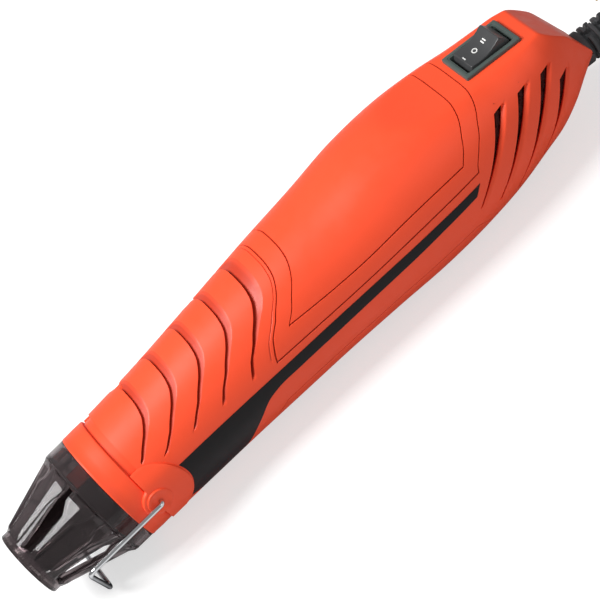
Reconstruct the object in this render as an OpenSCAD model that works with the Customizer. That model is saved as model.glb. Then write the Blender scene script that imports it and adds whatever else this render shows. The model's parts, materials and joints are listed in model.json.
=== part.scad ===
/* [Housing] */
// Length of the housing from the groove behind the collar to the tail
housing_len = 190; // [180:1:200]
// Distance from the front of the housing to its widest section
hump_at = 122; // [112:1:130]
// Width of the housing at its widest section
body_w = 49.8; // [48:0.2:54]
// Height of the hump above the air axis
hump_top = 29.3; // [28:0.1:32]
// Depth of the belly below the air axis
belly_depth = 23.9; // [23:0.1:26]
// Diameter of the housing just behind the collar
front_d = 40.8; // [40:0.2:42]
// Width of the tail where the cord leaves
tail_w = 15; // [14:0.5:17]
// Thickness of the housing wall
wall = 2.2; // [1.8:0.1:2.6]
// Height of the lowest flat strip that the tool rests on, cut off the round belly
rest_cut = 0.4; // [0.2:0.1:0.8]

/* [Grip and panels] */
// Number of swept grip grooves
groove_count = 5; // [3:1:5]
// Distance from the front of the housing to the first groove
groove_first = 13.3; // [12:0.1:15]
// Distance from one groove to the next
groove_pitch = 12.1; // [11.5:0.1:12.5]
// Depth of a grip groove
groove_depth = 0.9; // [0.5:0.1:1.2]
// Length of the ramp behind a groove
groove_ramp = 2.2; // [1.6:0.1:3]
// How far a moulded line runs forward from the top to the side
sweep = 17.6; // [14:0.2:20]
// Depth of the thin lines round the panels
line_depth = 0.45; // [0.2:0.05:0.6]
// Width of the thin lines round the panels
line_w = 0.8; // [0.5:0.1:1.2]
// Distance from the front of the housing to the outer panel line
panel_at = 71.2; // [69:0.1:73]
// Distance between the two nested panel lines
panel_step = 6; // [4:0.2:7]

/* [Vents] */
// Number of swept vents in each side
vent_count = 4; // [3:1:4]
// Distance from one vent to the next
vent_pitch = 11.8; // [11:0.1:12.4]
// Width of a vent slot at its upper end
vent_w = 1.7; // [1.2:0.1:2.2]
// Width of a vent slot at its lower end
vent_w_low = 0.9; // [0.6:0.1:1.2]
// Depth of the scoop behind a vent slot
scoop_depth = 1.2; // [0.8:0.1:1.6]

/* [Switch] */
// Length of the switch bezel
bezel_l = 21; // [19:0.5:22]
// Width of the switch bezel
bezel_w = 15; // [14:0.5:16]
// Thickness of the bezel
bezel_t = 1.2; // [0.8:0.1:1.6]
// Depth of the switch body below the bezel
switch_depth = 13; // [11:0.5:15]
// Slope of the switch flat towards the tail
flat_slope = 8.4; // [6:0.1:10]
// Half of the turn of the rocker between its two end positions
rocker_tilt = 12; // [9:0.5:13]

/* [Nozzle] */
// Length of the smoked nozzle guard in front of the collar
guard_len = 34.2; // [30:0.2:38]
// Diameter of the guard at its open front
guard_front_d = 24.4; // [23.6:0.2:26]
// Length of the straight band of the guard
band_len = 6.6; // [5:0.2:8]
// Wall of the guard
guard_wall = 1.5; // [1.2:0.1:1.8]
// Number of long windows in the guard
window_count = 5; // [4:1:6]
// Length of the front collar
collar_len = 8.2; // [7:0.1:9.4]
// Diameter of the front collar
collar_d = 40.4; // [39.6:0.2:41.6]
// Width of the groove between the collar and the housing
neck_gap = 3.1; // [2.6:0.1:3.6]
// Gap between the mouth of the guard and the metal outlet tube
outlet_gap = 1; // [0.6:0.1:1.6]
// Wall of the metal outlet tube
outlet_wall = 0.6; // [0.5:0.1:0.8]
// Depth of the socket for an extra nozzle in the outlet tube
socket_len = 12; // [8:0.5:16]

/* [Stand] */
// Diameter of the stand wire
wire_d = 1.6; // [1.4:0.1:2]
// Length of the legs from the pivot to the foot
leg_len = 31; // [28:0.5:33]
// Drop of the foot below the pivot while the stand is folded
foot_drop = 19.6; // [18.6:0.2:20.6]
// Width of the flat bottom of the foot
foot_w = 26; // [22:1:30]
// Radius of the raised lobe round the pivot
lobe_r = 11.8; // [10:0.2:13]
// Height of the lobe above the housing
lobe_h = 1; // [0.6:0.1:1.1]
// Radius of the pivot bush
bush_r = 4.3; // [3.6:0.1:4.8]
// Radial clearance of a turning wire or shaft
run_gap = 0.05; // [0.03:0.01:0.08]

/* [Air and heat] */
// Diameter of the fan
fan_d = 35; // [33:0.5:35.5]
// Number of fan blades
blade_count = 7; // [5:1:9]
// Diameter of the motor can
motor_d = 27.6; // [24:0.2:28.4]
// Length of the motor can
motor_len = 36; // [30:0.5:38]
// Diameter of the motor shaft
shaft_d = 2.3; // [2:0.1:3]
// Number of turns of the heating coil
heat_turns = 6; // [5:1:8]
// Diameter of the heating wire
heat_wire = 1.1; // [0.9:0.1:1.3]

/* [Cord] */
// Diameter of the cord
cord_d = 6; // [5.6:0.1:6.2]
// Length of the ribbed strain relief outside the tail
relief_len = 38; // [34:1:40]
// Diameter of the ribs of the strain relief at the tail
relief_d = 11.7; // [11:0.1:12]
// Droop of the strain relief
relief_droop = 8; // [5:0.5:10]
// Turns in each of the two layers of the put-away hank
coil_turns = 2; // [1:1:2]
// Radius of the innermost bend of the hank
coil_inner = 12; // [11.5:0.25:13]
// Length of the straight part of the hank
hank_len = 90; // [80:1:100]

/* [Hidden] */
$fn = 48;

// Heights are given from the air axis, which lies this far above the surface that the tool rests on
axis_z = belly_depth - rest_cut;

// Places along the tool, with the middle of its length at zero
tool_len = guard_len + collar_len + neck_gap + housing_len;
nose_x = -tool_len / 2;
collar_x = nose_x + guard_len;
neck_x = collar_x + collar_len;
body_x = neck_x + neck_gap;
hump_x = body_x + hump_at;
tail_x = body_x + housing_len;
switch_x = tail_x - 26.4;
bezel_gap = 12.4;
panel_front_u = body_x + panel_at;
panel_rear_u = switch_x - bezel_gap;
pivot_x = neck_x + neck_gap / 2;

function mix(a, b, t) = a + (b - a) * t;
function clamp(v, lo, hi) = max(lo, min(hi, v));
function ease(t) = let (c = clamp(t, 0, 1)) c * c * (3 - 2 * c);

// Form of the housing
// Each row: share of the way, then the shares of width, top and bottom, the height of the widest
// line and the squareness of the upper half. The first rows run from the collar to the hump.
front_form = [
  [0, 0, 0, 0, 0, 2],
  [0.14, 0.04, 0.12, 0.03, 0, 2],
  [0.28, 0.16, 0.29, 0.06, 0.2, 2.05],
  [0.43, 0.33, 0.48, 0.15, 0.5, 2.1],
  [0.59, 0.56, 0.66, 0.24, 0.8, 2.15],
  [0.755, 0.78, 0.8, 0.55, 1.1, 2.2],
  [0.92, 0.98, 0.98, 0.96, 1.3, 2.25],
];
rear_form = [
  [0.12, 0.99, 0.94, 0.97, 1.2, 2.3],
  [0.355, 0.925, 0.78, 0.87, 0.8, 2.35],
  [0.53, 0.81, 0.62, 0.73, 0.5, 2.4],
  [0.68, 0.68, 0.57, 0.61, 0.2, 2.4],
  [0.8, 0.52, 0.54, 0.38, 0, 2.4],
  [0.9, 0.29, 0.4, 0.17, -0.5, 2.4],
  [1, 0, 0, 0, -3, 2.4],
];
tail_top = 14;
tail_bottom = 8.2;
form = [
  for (r = front_form)
    [mix(body_x, hump_x, r[0]), mix(front_d, body_w, r[1]) / 2, mix(front_d / 2 - 0.3, hump_top, r[2]),
     mix(front_d / 2 + 0.2, belly_depth, r[3]), r[4], r[5]],
  [hump_x, body_w / 2, hump_top, belly_depth, 1.3, 2.28],
  for (r = rear_form)
    [mix(hump_x, tail_x, r[0]), mix(tail_w, body_w, r[1]) / 2, mix(tail_top, hump_top, r[2]),
     mix(tail_bottom, belly_depth, r[3]), r[4], r[5]],
];
last_row = len(form) - 1;

function row_at(x, i = 0) = i >= last_row - 1 || x < form[i + 1][0] ? i : row_at(x, i + 1);
function slope(i, k) =
  let (a = form[max(i - 1, 0)], b = form[min(i + 1, last_row)]) (b[k] - a[k]) / (b[0] - a[0]);
// Smooth curve through column k of the form at the place x
function form_at(x, k) =
  let (i = row_at(x), a = form[i], b = form[i + 1], h = b[0] - a[0], t = clamp((x - a[0]) / h, 0, 1))
    (2 * t ^ 3 - 3 * t ^ 2 + 1) * a[k] + (t ^ 3 - 2 * t ^ 2 + t) * h * slope(i, k)
    + (3 * t ^ 2 - 2 * t ^ 3) * b[k] + (t ^ 3 - t ^ 2) * h * slope(i + 1, k);

// The flat under the switch, and the two planes that cut the tail
flat_z = 21;
flat_tan = tan(flat_slope);
tail_edge_x = tail_x - 11.2;
tail_bend_x = tail_x - 4.8;
upper_cut = 1.3;
lower_cut = 2.9;
function flat_at(x) =
  let (
    top = flat_z - flat_tan * (x - switch_x) + 0.003 * max(0, switch_x - 11 - x) ^ 2,
    edge = flat_z - flat_tan * (tail_edge_x - switch_x),
    bend = edge - upper_cut * (tail_bend_x - tail_edge_x)
  ) min(top, edge - upper_cut * (x - tail_edge_x), bend - lower_cut * (x - tail_bend_x));

ridge_turn = 63;
// Angle above the side at which the flat meets the flank, seen along the tool
function ridge_at(x) =
  let (z0 = form_at(x, 4), h = form_at(x, 2) - z0, s = (flat_at(x) - z0) / h)
    min(ridge_turn, asin(clamp(s, 0, 1) ^ (form_at(x, 5) / 2)));

// A point of the section at x, at the angle a above the side, moved out by grow
function section(x, a, grow) =
  let (
    z0 = form_at(x, 4),
    n = a > 0 ? form_at(x, 5) : 2,
    w = form_at(x, 1) + grow,
    h = a > 0 ? form_at(x, 2) + grow - z0 : form_at(x, 3) + grow + z0,
    z = z0 + h * sign(a) * abs(sin(a)) ^ (2 / n)
  ) [x, -w * abs(cos(a)) ^ (2 / n), max(min(z, flat_at(x) + grow), -axis_z - min(grow, 0))];

// How far a moulded line has run forward at the angle a
function swept(a) = sweep * min(1, (90 - a) / 76) ^ 2.2;
sweep_room = 0.83;
rear_lead = 2.2;
fade_end = switch_x + 8.6;
function shift_at(u, a) =
  min(
    (u - body_x) * sweep_room,
    max(0, swept(a) - rear_lead * ease((u - panel_front_u - 10) / 50))
  ) * (1 - ease((u - panel_rear_u - line_w) / (fade_end - panel_rear_u - line_w)));

// Stations along the tool: place, depth of a groove there, and the panel line that it carries
function groove_rows(k) =
  let (
    u = body_x + groove_first + k * groove_pitch,
    last = k == groove_count - 1,
    deep = groove_depth * (last ? 1.5 : 1),
    ramp = groove_ramp * (last ? 1.9 : 1)
  ) [[u, 0, 0], [u + 0.35, deep, 0], [u + ramp * 0.55, deep * 0.5, 0], [u + ramp, 0, 0]];
function line_rows(u, kind) = [[u - line_w / 2, 0, 0], [u, 0, kind], [u + line_w / 2, 0, 0]];
outer_line = 1;
inner_line = 2;
belly_line = 3;
stations = [
  [body_x, 0, 0],
  [body_x + 5, 0, 0],
  for (k = [0:groove_count - 1]) each groove_rows(k),
  each line_rows(panel_front_u, outer_line),
  each line_rows(panel_front_u + panel_step, inner_line),
  for (t = [0.2:0.2:0.9]) [mix(panel_front_u + panel_step, panel_rear_u - panel_step, t), 0, 0],
  each line_rows(panel_rear_u - panel_step, inner_line),
  each line_rows(panel_rear_u, outer_line),
  for (t = [0.25:0.25:1]) [mix(panel_rear_u + line_w / 2, tail_edge_x - 3, t), 0, 0],
  [tail_edge_x, 0, 0],
  [mix(tail_edge_x, tail_bend_x, 0.5), 0, 0],
  [tail_bend_x, 0, 0],
  [mix(tail_bend_x, tail_x, 0.5), 0, 0],
  [tail_x, 0, 0],
];
// Lines round half a section, by their angle above the side, with the panel line that each carries
outer_turn = 12.5;
inner_turn = 24;
belly_turn = -24;
line_turn = 1;
function turn_rows(a, kind) = [[a - line_turn, 0], [a, kind], [a + line_turn, 0]];
turns = [
  [-90, 0], [-80, 0], [-67, 0], [-54, 0], [-42, 0], [-32, 0],
  each turn_rows(belly_turn, belly_line),
  [-12, 0], [0, 0],
  each turn_rows(outer_turn, outer_line),
  [18, 0],
  each turn_rows(inner_turn, inner_line),
  [34, 0], [44, 0], [54, 0], [ridge_turn, 0], [72, 0], [81, 0], [90, 0],
];
belly_front_u = panel_front_u - 4;
belly_rear_u = panel_rear_u - 10;

function on_outline(u, kind) =
  kind == outer_line ? u >= panel_front_u && u <= panel_rear_u
  : kind == inner_line ? u >= panel_front_u + panel_step && u <= panel_rear_u - panel_step
  : kind == belly_line ? u >= belly_front_u && u <= belly_rear_u : false;
function lowest_turn(kind) = kind == outer_line ? outer_turn : kind == inner_line ? inner_turn : 100;
// How deep the moulded grooves and lines are at one station and angle
function dip(row, turn) =
  let (a = turn[0])
    row[1] * ease((a - outer_turn - line_turn) / 12)
    + (a >= lowest_turn(row[2]) || (turn[1] > 0 && on_outline(row[0], turn[1])) ? line_depth : 0);
// Angle of a line at x: above the side it is drawn down to keep under the ridge at the tail
function turn_at(x, a) =
  a <= 0 ? a
  : let (r = ridge_at(x)) a <= ridge_turn ? a * r / ridge_turn
  : mix(r, 90, (a - ridge_turn) / (90 - ridge_turn));
function skin(row, turn, grow) =
  let (x = row[0] - shift_at(row[0], turn[0])) section(x, turn_at(x, turn[0]), grow - dip(row, turn));

// Closed solid from a grid of points: rows of equal length, capped at both ends and along the seam
module grid_solid(rows) {
  n = len(rows);
  m = len(rows[0]);
  points = [for (r = rows) each r];
  faces = [
    for (i = [0:n - 2], j = [0:m - 1])
      let (a = i * m + j, b = i * m + (j + 1) % m, c = a + m, d = b + m)
        each [[a, b, c], [b, d, c]],
    [for (j = [m - 1:-1:0]) j],
    [for (j = [0:m - 1]) (n - 1) * m + j],
  ];
  polyhedron(points, faces);
}
// Closed plate from a grid whose rows run up its outer face and back down its inner face
module plate_solid(rows) {
  n = len(rows);
  m = len(rows[0]);
  k = m / 2;
  last = (n - 1) * m;
  faces = [
    for (i = [0:n - 2], j = [0:m - 1])
      let (a = i * m + j, b = i * m + (j + 1) % m, c = a + m, d = b + m)
        each [[a, b, c], [b, d, c]],
    for (j = [0:k - 2]) let (o = m - 1 - j) each [[j, o, j + 1], [o, o - 1, j + 1]],
    for (j = [0:k - 2]) let (o = m - 1 - j) 
      each [[last + j, last + j + 1, last + o], [last + o, last + j + 1, last + o - 1]],
  ];
  polyhedron([for (r = rows) each r], faces);
}
// Half of the housing as a solid, on the side of the label, its seam on the middle plane
module half_loft(grow) {
  grid_solid([
    for (r = stations)
      [for (t = turns) let (p = skin(r, t, grow)) t[0] == -90 || t[0] == 90 ? [p[0], 0, p[2]] : p]
  ]);
}
// The hollow inside, on a coarse grid, which passes over the middle plane
hollow_stations = [
  for (t = [0:0.1:0.9]) mix(body_x - 1, tail_edge_x - wall, t), tail_edge_x - wall,
  tail_bend_x - wall, tail_x - 3 * wall
];
hollow_turns = [-90, -66, -44, -22, 0, 20, 42, ridge_turn, 76, 90];
function hollow_point(x, a) =
  let (p = section(x, turn_at(x, a), -wall)) abs(a) == 90 ? [x, 1, p[2]] : [x, min(p[1], -0.5), p[2]];
module half_hollow() {
  grid_solid([
    for (x = hollow_stations)
      [for (a = hollow_turns) hollow_point(max(x, body_x), a) - [body_x - min(x, body_x), 0, 0]]
  ]);
}
// Plate that lies on the housing, between two growths, on its own coarse grid
module skin_patch(steps, angles, inner, outer) {
  k = len(angles) - 1;
  plate_solid([
    for (x = steps)
      [
        for (a = angles) section(body_x + x, a, outer),
        for (j = [k:-1:0]) section(body_x + x, angles[j], inner)
      ]
  ]);
}

// Vents: straight slots when seen from the side, leaning forward as they go down
vent_lean = 1.18;
vent_tops = [16, 14.4, 12.3, 5.6];
vent_feet = [-2.4, -6.8, -10.6, -10.4];
function vent_x(k, z) = switch_x - 30.2 + k * vent_pitch + vent_lean * z;
module across(x, z, r, far) {
  translate([x, 0, z]) rotate([90, 0, 0]) cylinder(r = r, h = far, $fn = 8);
}
module vent_slot(k) {
  mid = mix(vent_tops[k], vent_feet[k], 0.5);
  mid_w = mix(vent_w, vent_w_low, 0.4);
  hull() {
    across(vent_x(k, vent_tops[k]), vent_tops[k], vent_w / 2, body_w);
    across(vent_x(k, mid) + 0.3, mid, mid_w / 2, body_w);
  }
  hull() {
    across(vent_x(k, mid) + 0.3, mid, mid_w / 2, body_w);
    across(vent_x(k, vent_feet[k]), vent_feet[k], vent_w_low / 2, body_w);
  }
}
// Angle above the side of the point of the section at x that lies at the height z
function turn_of(x, z) =
  let (z0 = form_at(x, 4), n = z > z0 ? form_at(x, 5) : 2,
       h = z > z0 ? form_at(x, 2) - z0 : form_at(x, 3) + z0)
    sign(z - z0) * asin(clamp(abs(z - z0) / h, 0, 1) ^ (n / 2));
scoop_len = 4.2;
module vent_scoop(k) {
  steps = 6;
  grid_solid([
    for (i = [0:steps])
      let (
        z = mix(vent_tops[k], vent_feet[k], i / steps),
        x = vent_x(k, z),
        fade = 1 - i / steps * 0.7
      ) [
        section(x, turn_of(x, z), 1.5),
        section(x + scoop_len * fade, turn_of(x + scoop_len * fade, z), 1.5),
        section(x + scoop_len * fade, turn_of(x + scoop_len * fade, z), 0.02),
        section(x, turn_of(x, z), -scoop_depth * fade),
      ]
  ]);
}

// Half width of the housing at a place and height, to the middle of its wall
function wall_at(x, z) = -section(x, turn_of(x, z), -wall / 2)[1];
// Rib that stands on the wall and holds a round part
module wall_rib(x, t, r) {
  n = len(hollow_turns) - 1;
  grid_solid([
    for (d = [0, t]) [
      for (a = hollow_turns) let (p = section(x + d, turn_at(x + d, a), -wall / 2))
        abs(a) == 90 ? [p[0], 0, p[2]] : p,
      for (i = [n:-1:0]) let (a = hollow_turns[i]) [x + d, -r * cos(a), r * sin(a)],
    ]
  ]);
}

// Screw posts: place along the tool and height
posts = [
  [body_x + 12, 15.6], [body_x + 12, -15.6], [body_x + 46, 17.8], [body_x + 46, -17.2],
  [hump_x + 22, -14.6], [tail_edge_x + 0.4, 10.6]
];
post_r = 3.5;
screw_r = 1.4;
head_r = 2.5;
seat_y = 3.2;
head_t = 1.6;

neck_r = collar_d / 2 - 1.1;
boot_z = -6.7;
boot_at = tail_x - 0.6;
boot_bore = relief_d / 2 + 0.1;
boot_inside = 12;
inner_r = cord_d / 2;
clamp_back = 17;
clamp_y = 6.4;
clamp_screw_r = 1.2;
function boot_line(d) = [boot_at + d * cos(relief_droop), 0, boot_z - d * sin(relief_droop)];

module lift() { translate([0, 0, axis_z]) children(); }
module along_x(x) { translate([x, 0, 0]) rotate([0, 90, 0]) children(); }
module at_boot() { translate([boot_at, 0, boot_z]) rotate([0, 90 + relief_droop, 0]) children(); }
module at_clamp() { translate(boot_line(-clamp_back)) rotate([0, relief_droop, 0]) children(); }
module at_switch() {
  translate([switch_x, 0, flat_z]) rotate([0, flat_slope, 0]) children();
}

duct_wall = 0.8;
duct_gap = 0.5;
duct_r = fan_d / 2 + duct_gap + duct_wall;
duct_x = body_x + 79;
duct_len = 18;
duct_ribs = [duct_x + 2, duct_x + duct_len - 5];
rib_t = 2;
ledge_z = -8;
ledge_t = 1.6;
board_x = switch_x - 9;
board_l = 26;
board_w = 24;
board_t = 1.6;

// One half of the housing, on the side of the label
module shell_half() {
  difference() {
    union() {
      difference() {
        half_loft(0);
        half_hollow();
      }
      for (p = posts) translate([p[0], 0, p[1]]) rotate([90, 0, 0])
        cylinder(r = post_r, h = wall_at(p[0], p[1] + sign(p[1]) * post_r) + 0.4, $fn = 16);
      for (s = [-1, 1]) let (x = board_x + s * (board_l / 2 - 3)) translate([x - 1.5, 0, ledge_z - ledge_t])
        mirror([0, 1, 0]) translate([0, board_w / 2 - 2.5, 0])
          cube([3, wall_at(x + 3, ledge_z - ledge_t) - board_w / 2 + 1.5, ledge_t]);
      for (x = duct_ribs) wall_rib(x, rib_t, duct_r - 1);
      at_clamp() translate([-2.5, -9, -10.4]) cube([5, 9, 10.6]);
      // Neck that the collar turns on
      intersection() {
        along_x(collar_x + 1.6) difference() {
          cylinder(r = neck_r, h = collar_len + neck_gap + 0.4);
          translate([0, 0, -1]) cylinder(r = neck_r - wall, h = collar_len + neck_gap + 3);
        }
        translate([collar_x, -body_w, -body_w / 2]) cube([body_w, body_w, body_w]);
      }
      // Lobe that covers the pivot
      intersection() {
        skin_patch([0, 4, 8, 12, 14], [-40, -20, 0, 20, 40], -wall / 2, lobe_h);
        translate([pivot_x, 0, 0]) rotate([90, 0, 0]) cylinder(r = lobe_r, h = body_w);
      }
    }
    for (k = [0:vent_count - 1]) {
      vent_slot(k);
      vent_scoop(k);
    }
    // Round seat of the fan duct in its ribs
    along_x(duct_ribs[0] - 0.5) cylinder(r = duct_r + 0.1, h = duct_ribs[1] - duct_ribs[0] + rib_t + 1);
    // Seat of the cord and its clamp
    at_clamp() {
      rotate([0, 90, 0]) translate([0, 0, -6]) cylinder(r = inner_r + 0.05, h = 12, $fn = 24);
      translate([0, -clamp_y, -7]) cylinder(r = clamp_screw_r + 0.04, h = 12, $fn = 16);
    }
    // Hole for the pivot bush
    translate([pivot_x, 0, 0]) rotate([90, 0, 0]) cylinder(r = bush_r + 0.03, h = body_w);
    // Opening for the switch
    at_switch() cube([bezel_l - 1.9, bezel_w - 1.9, 30], center = true);
    // Opening for the strain relief
    at_boot() translate([0, 0, -14]) cylinder(r = boot_bore, h = 40);
    // Screw holes
    for (p = posts) translate([p[0], 0.01, p[1]]) rotate([90, 0, 0])
      cylinder(r = screw_r + 0.04, h = 7.2, $fn = 16);
  }
}
module left_shell() {
  color("orangered") lift() shell_half();
}
module right_shell() {
  color("orangered") lift() difference() {
    mirror([0, 1, 0]) shell_half();
    for (p = posts) translate([p[0], seat_y, p[1]]) rotate([-90, 0, 0])
      cylinder(r = head_r + 0.2, h = body_w, $fn = 16);
  }
}
module shell_screws() {
  color("silver") lift() for (p = posts) translate([p[0], 0, p[1]]) rotate([-90, 0, 0]) {
    translate([0, 0, -7]) cylinder(r = screw_r, h = seat_y + 7.1);
    translate([0, 0, seat_y]) difference() {
      cylinder(r1 = head_r, r2 = head_r - 0.4, h = head_t);
      for (a = [0, 90]) rotate(a) translate([-1.6, -0.3, head_t - 0.8]) cube([3.2, 0.6, 1]);
    }
  }
}

// Front collar, which holds the guard against the neck
module front_collar() {
  lip = 1.4;
  color("orangered") lift() difference() {
    along_x(collar_x) rotate_extrude() polygon([
      [neck_r + 0.05, lip], [neck_r - lip, lip], [neck_r - lip, 0], [collar_d / 2 - 0.3, 0],
      [collar_d / 2, 0.3],
      [collar_d / 2, collar_len - 0.5], [collar_d / 2 - 0.5, collar_len], [neck_r + 0.05, collar_len]
    ]);
    for (s = [0, 180]) translate([pivot_x, 0, 0]) rotate([90, 0, s]) cylinder(r = bush_r + 0.35, h = body_w);
  }
}

// Smoked guard: a tapered many-sided cone with windows between raised ribs
band_r = collar_d / 2 - 0.1;
guard_front_r = guard_front_d / 2;
cone_len = guard_len - band_len;
rib_turn = 45;
window_turn = 360 / window_count;
rib_turns = [
  for (k = [0:window_count - 1], s = [-1, 1]) rib_turn + (k + 0.25) * window_turn + s * window_turn / 4
];
cone_sides = 2 * window_count;
function cone_r(x) = mix(guard_front_r, band_r - 0.3, clamp((x - nose_x - 3.2) / (cone_len - 3.2), 0, 1));
module cone_body(grow) {
  hull() {
    along_x(nose_x + 3.2) rotate(-rib_turn) cylinder(r = guard_front_r + grow, h = 0.01, $fn = cone_sides);
    along_x(nose_x + cone_len) rotate(-rib_turn)
      cylinder(r = band_r - 0.3 + grow, h = 0.01, $fn = cone_sides);
  }
}
module guard_rib() {
  rise = 0.5;
  flare_x = nose_x + cone_len - 6;
  hull() {
    translate([nose_x + 1, -0.9, guard_front_r - 1.2]) cube([0.1, 1.8, 1.2 + rise * 0.4]);
    translate([flare_x, -1.7, cone_r(flare_x) - 1.2]) cube([0.1, 3.4, 1.2 + rise]);
  }
  hull() {
    translate([flare_x, -1.7, cone_r(flare_x) - 1.2]) cube([0.1, 3.4, 1.2 + rise]);
    translate([nose_x + cone_len - 2, -3.2, band_r - 1.6]) cube([2.4, 6.4, 1.5]);
  }
}
module nozzle_guard() {
  color("dimgray", 0.6) lift() difference() {
    union() {
      cone_body(0);
      along_x(nose_x) cylinder(r = guard_front_r - 0.3, h = 3.4);
      along_x(nose_x + cone_len - 0.2) cylinder(r = band_r, h = band_len + 0.2);
      along_x(collar_x - 0.1) cylinder(r = neck_r - 1.5, h = 1.6);
      for (a = rib_turns) rotate([90 - a, 0, 0]) guard_rib();
    }
    cone_body(-guard_wall);
    along_x(nose_x - 1) cylinder(r = guard_front_r - guard_wall, h = 6);
    along_x(nose_x + cone_len - 1) cylinder(r = band_r - guard_wall, h = band_len - 0.6);
    along_x(collar_x - 2) cylinder(r = neck_r - 2.9, h = 5);
    for (k = [0:window_count - 1]) rotate([90 - rib_turn - (k + 0.25) * window_turn, 0, 0]) hull() {
      translate([nose_x + 4.6, -1.3, 5]) cube([0.1, 2.6, 20]);
      translate([nose_x + cone_len - 9, -3.6, 5]) cube([0.1, 7.2, 20]);
      translate([nose_x + cone_len - 4, -3, 5]) cube([0.1, 6, 20]);
    }
  }
}

// Metal outlet tube with a turned lip, and what it holds
outlet_r = guard_front_r - guard_wall - outlet_gap;
outlet_in = outlet_r - outlet_wall;
socket_r = outlet_in + 0.2;
lip_r = guard_front_r - guard_wall - 0.25;
outlet_end = body_x + 26;
module outlet_tube() {
  color("silver") lift() along_x(nose_x + 0.6) rotate_extrude() polygon([
    [socket_r, 0], [lip_r, 0], [lip_r, 1.2], [outlet_r, 1.8], [outlet_r, outlet_end - nose_x - 0.6],
    [outlet_in, outlet_end - nose_x - 0.6], [outlet_in, socket_len], [socket_r, socket_len]
  ]);
}
module tube_washer() {
  color("wheat") lift() along_x(collar_x + 3) difference() {
    cylinder(r = neck_r - wall - 0.06, h = 1.2);
    translate([0, 0, -1]) cylinder(r = outlet_r + 0.03, h = 4);
  }
}
heater_x = nose_x + 26;
heater_len = 34;
sleeve_in = outlet_in - 0.6;
module mica_sleeve() {
  color("tan") lift() along_x(heater_x) difference() {
    cylinder(r = outlet_in - 0.03, h = heater_len);
    translate([0, 0, -1]) cylinder(r = sleeve_in, h = heater_len + 2);
  }
}
former_r = sleeve_in - 3.3;
disc_t = 1.2;
module heater_former() {
  color("tan") lift() along_x(heater_x) {
    for (a = [0, 90]) rotate(a) translate([-former_r, -0.4, 0]) cube([2 * former_r, 0.8, heater_len]);
    for (z = [0, heater_len - disc_t]) translate([0, 0, z]) difference() {
      cylinder(r = sleeve_in - 0.03, h = disc_t);
      for (a = [0:45:315]) rotate(a + 22.5) translate([former_r + 0.4, 0, -1]) cylinder(r = 1.7, h = 4);
    }
  }
}

// One unbroken tube along a path. Each ring is turned as little as possible from the last.
function unit(v) = v / norm(v);
function tangent(p, i) = unit(p[min(i + 1, len(p) - 1)] - p[max(i - 1, 0)]);
function frames(p, up) = [
  for (i = 0, n = unit(up - tangent(p, 0) * (up * tangent(p, 0))); i < len(p);
       i = i + 1, n = i < len(p) ? unit(n - tangent(p, i) * (n * tangent(p, i))) : n) n
];
module tube(path, r, sides, up = [0, 0, 1], turn = 0) {
  ns = frames(path, up);
  grid_solid([
    for (i = [0:len(path) - 1])
      let (t = tangent(path, i), n = ns[i], b = cross(t, n))
        [for (j = [0:sides - 1]) let (a = turn - j * 360 / sides) path[i] + r * (cos(a) * n + sin(a) * b)]
  ]);
}
// Least gap between a tube and itself, on points at least half a loop apart
function self_gap(p, d, apart) =
  min([for (i = [0:len(p) - 1], j = [i + apart:1:len(p) - 1]) norm(p[i] - p[j])]) - d;

heat_r = former_r + heat_wire / 2 + 0.04;
heat_pitch = (heater_len - 2 * disc_t - 6) / heat_turns;
heat_rings = 24;
heat_path = [
  [heater_x + disc_t, heat_r, 0], [heater_x + disc_t + 1.4, heat_r, 0],
  for (i = [0:heat_turns * heat_rings])
    let (a = 360 * i / heat_rings)
      [heater_x + disc_t + 3 + heat_pitch * i / heat_rings, heat_r * cos(a), heat_r * sin(a)],
  [heater_x + heater_len - disc_t - 1.4, heat_r, 0], [heater_x + heater_len - disc_t, heat_r, 0],
];
echo(heating_coil_gap = self_gap(heat_path, heat_wire, 18));
module heating_coil() {
  color("gainsboro") lift() tube(heat_path, heat_wire / 2, 6, [0, 1, 0]);
}
module thermal_cutout() {
  color("silver") lift() along_x(heater_x + heater_len) {
    cylinder(r = 4, h = 3.4);
    translate([0, 0, 3.4]) cylinder(r = 2.4, h = 1.4);
  }
}

// Air guide between the fan and the outlet tube
guide_wall = 1.4;
guide_front = outlet_end - 8;
module air_guide() {
  color("darkslategray") lift() along_x(guide_front) rotate_extrude() polygon([
    [outlet_r + 0.03, 0], [outlet_r + guide_wall, 0], [outlet_r + guide_wall, 24],
    [duct_r, duct_x - guide_front - 3], [duct_r, duct_x - guide_front],
    [duct_r - guide_wall, duct_x - guide_front],
    [duct_r - guide_wall, duct_x - guide_front - 3.5], [outlet_r - 0.6, 24.5], [outlet_r - 0.6, 8],
    [outlet_r + 0.03, 8]
  ]);
}
spider_x = duct_x + duct_len - 2.5;
spider_t = 2.5;
motor_x = duct_x + duct_len;
module fan_duct() {
  color("darkslategray") lift() {
    difference() {
      along_x(duct_x) cylinder(r = duct_r, h = duct_len - 0.3);
      along_x(duct_x - 1) cylinder(r = fan_d / 2 + duct_gap, h = duct_len + 2);
    }
    along_x(spider_x) difference() {
      union() {
        cylinder(r = 9.5, h = spider_t);
        for (a = [0:90:270]) rotate(a + 45) translate([0, -1.6, 0]) cube([fan_d / 2 + 1, 3.2, spider_t]);
      }
      translate([0, 0, -1]) cylinder(r = 4.1, h = 5);
      for (s = [-1, 1]) translate([0, 7 * s, -1]) cylinder(r = 1.25, h = 5);
    }
  }
}
hub_r = 7.5;
fan_x = duct_x + 3.2;
fan_len = 9;
blade_pitch = 38;
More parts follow.
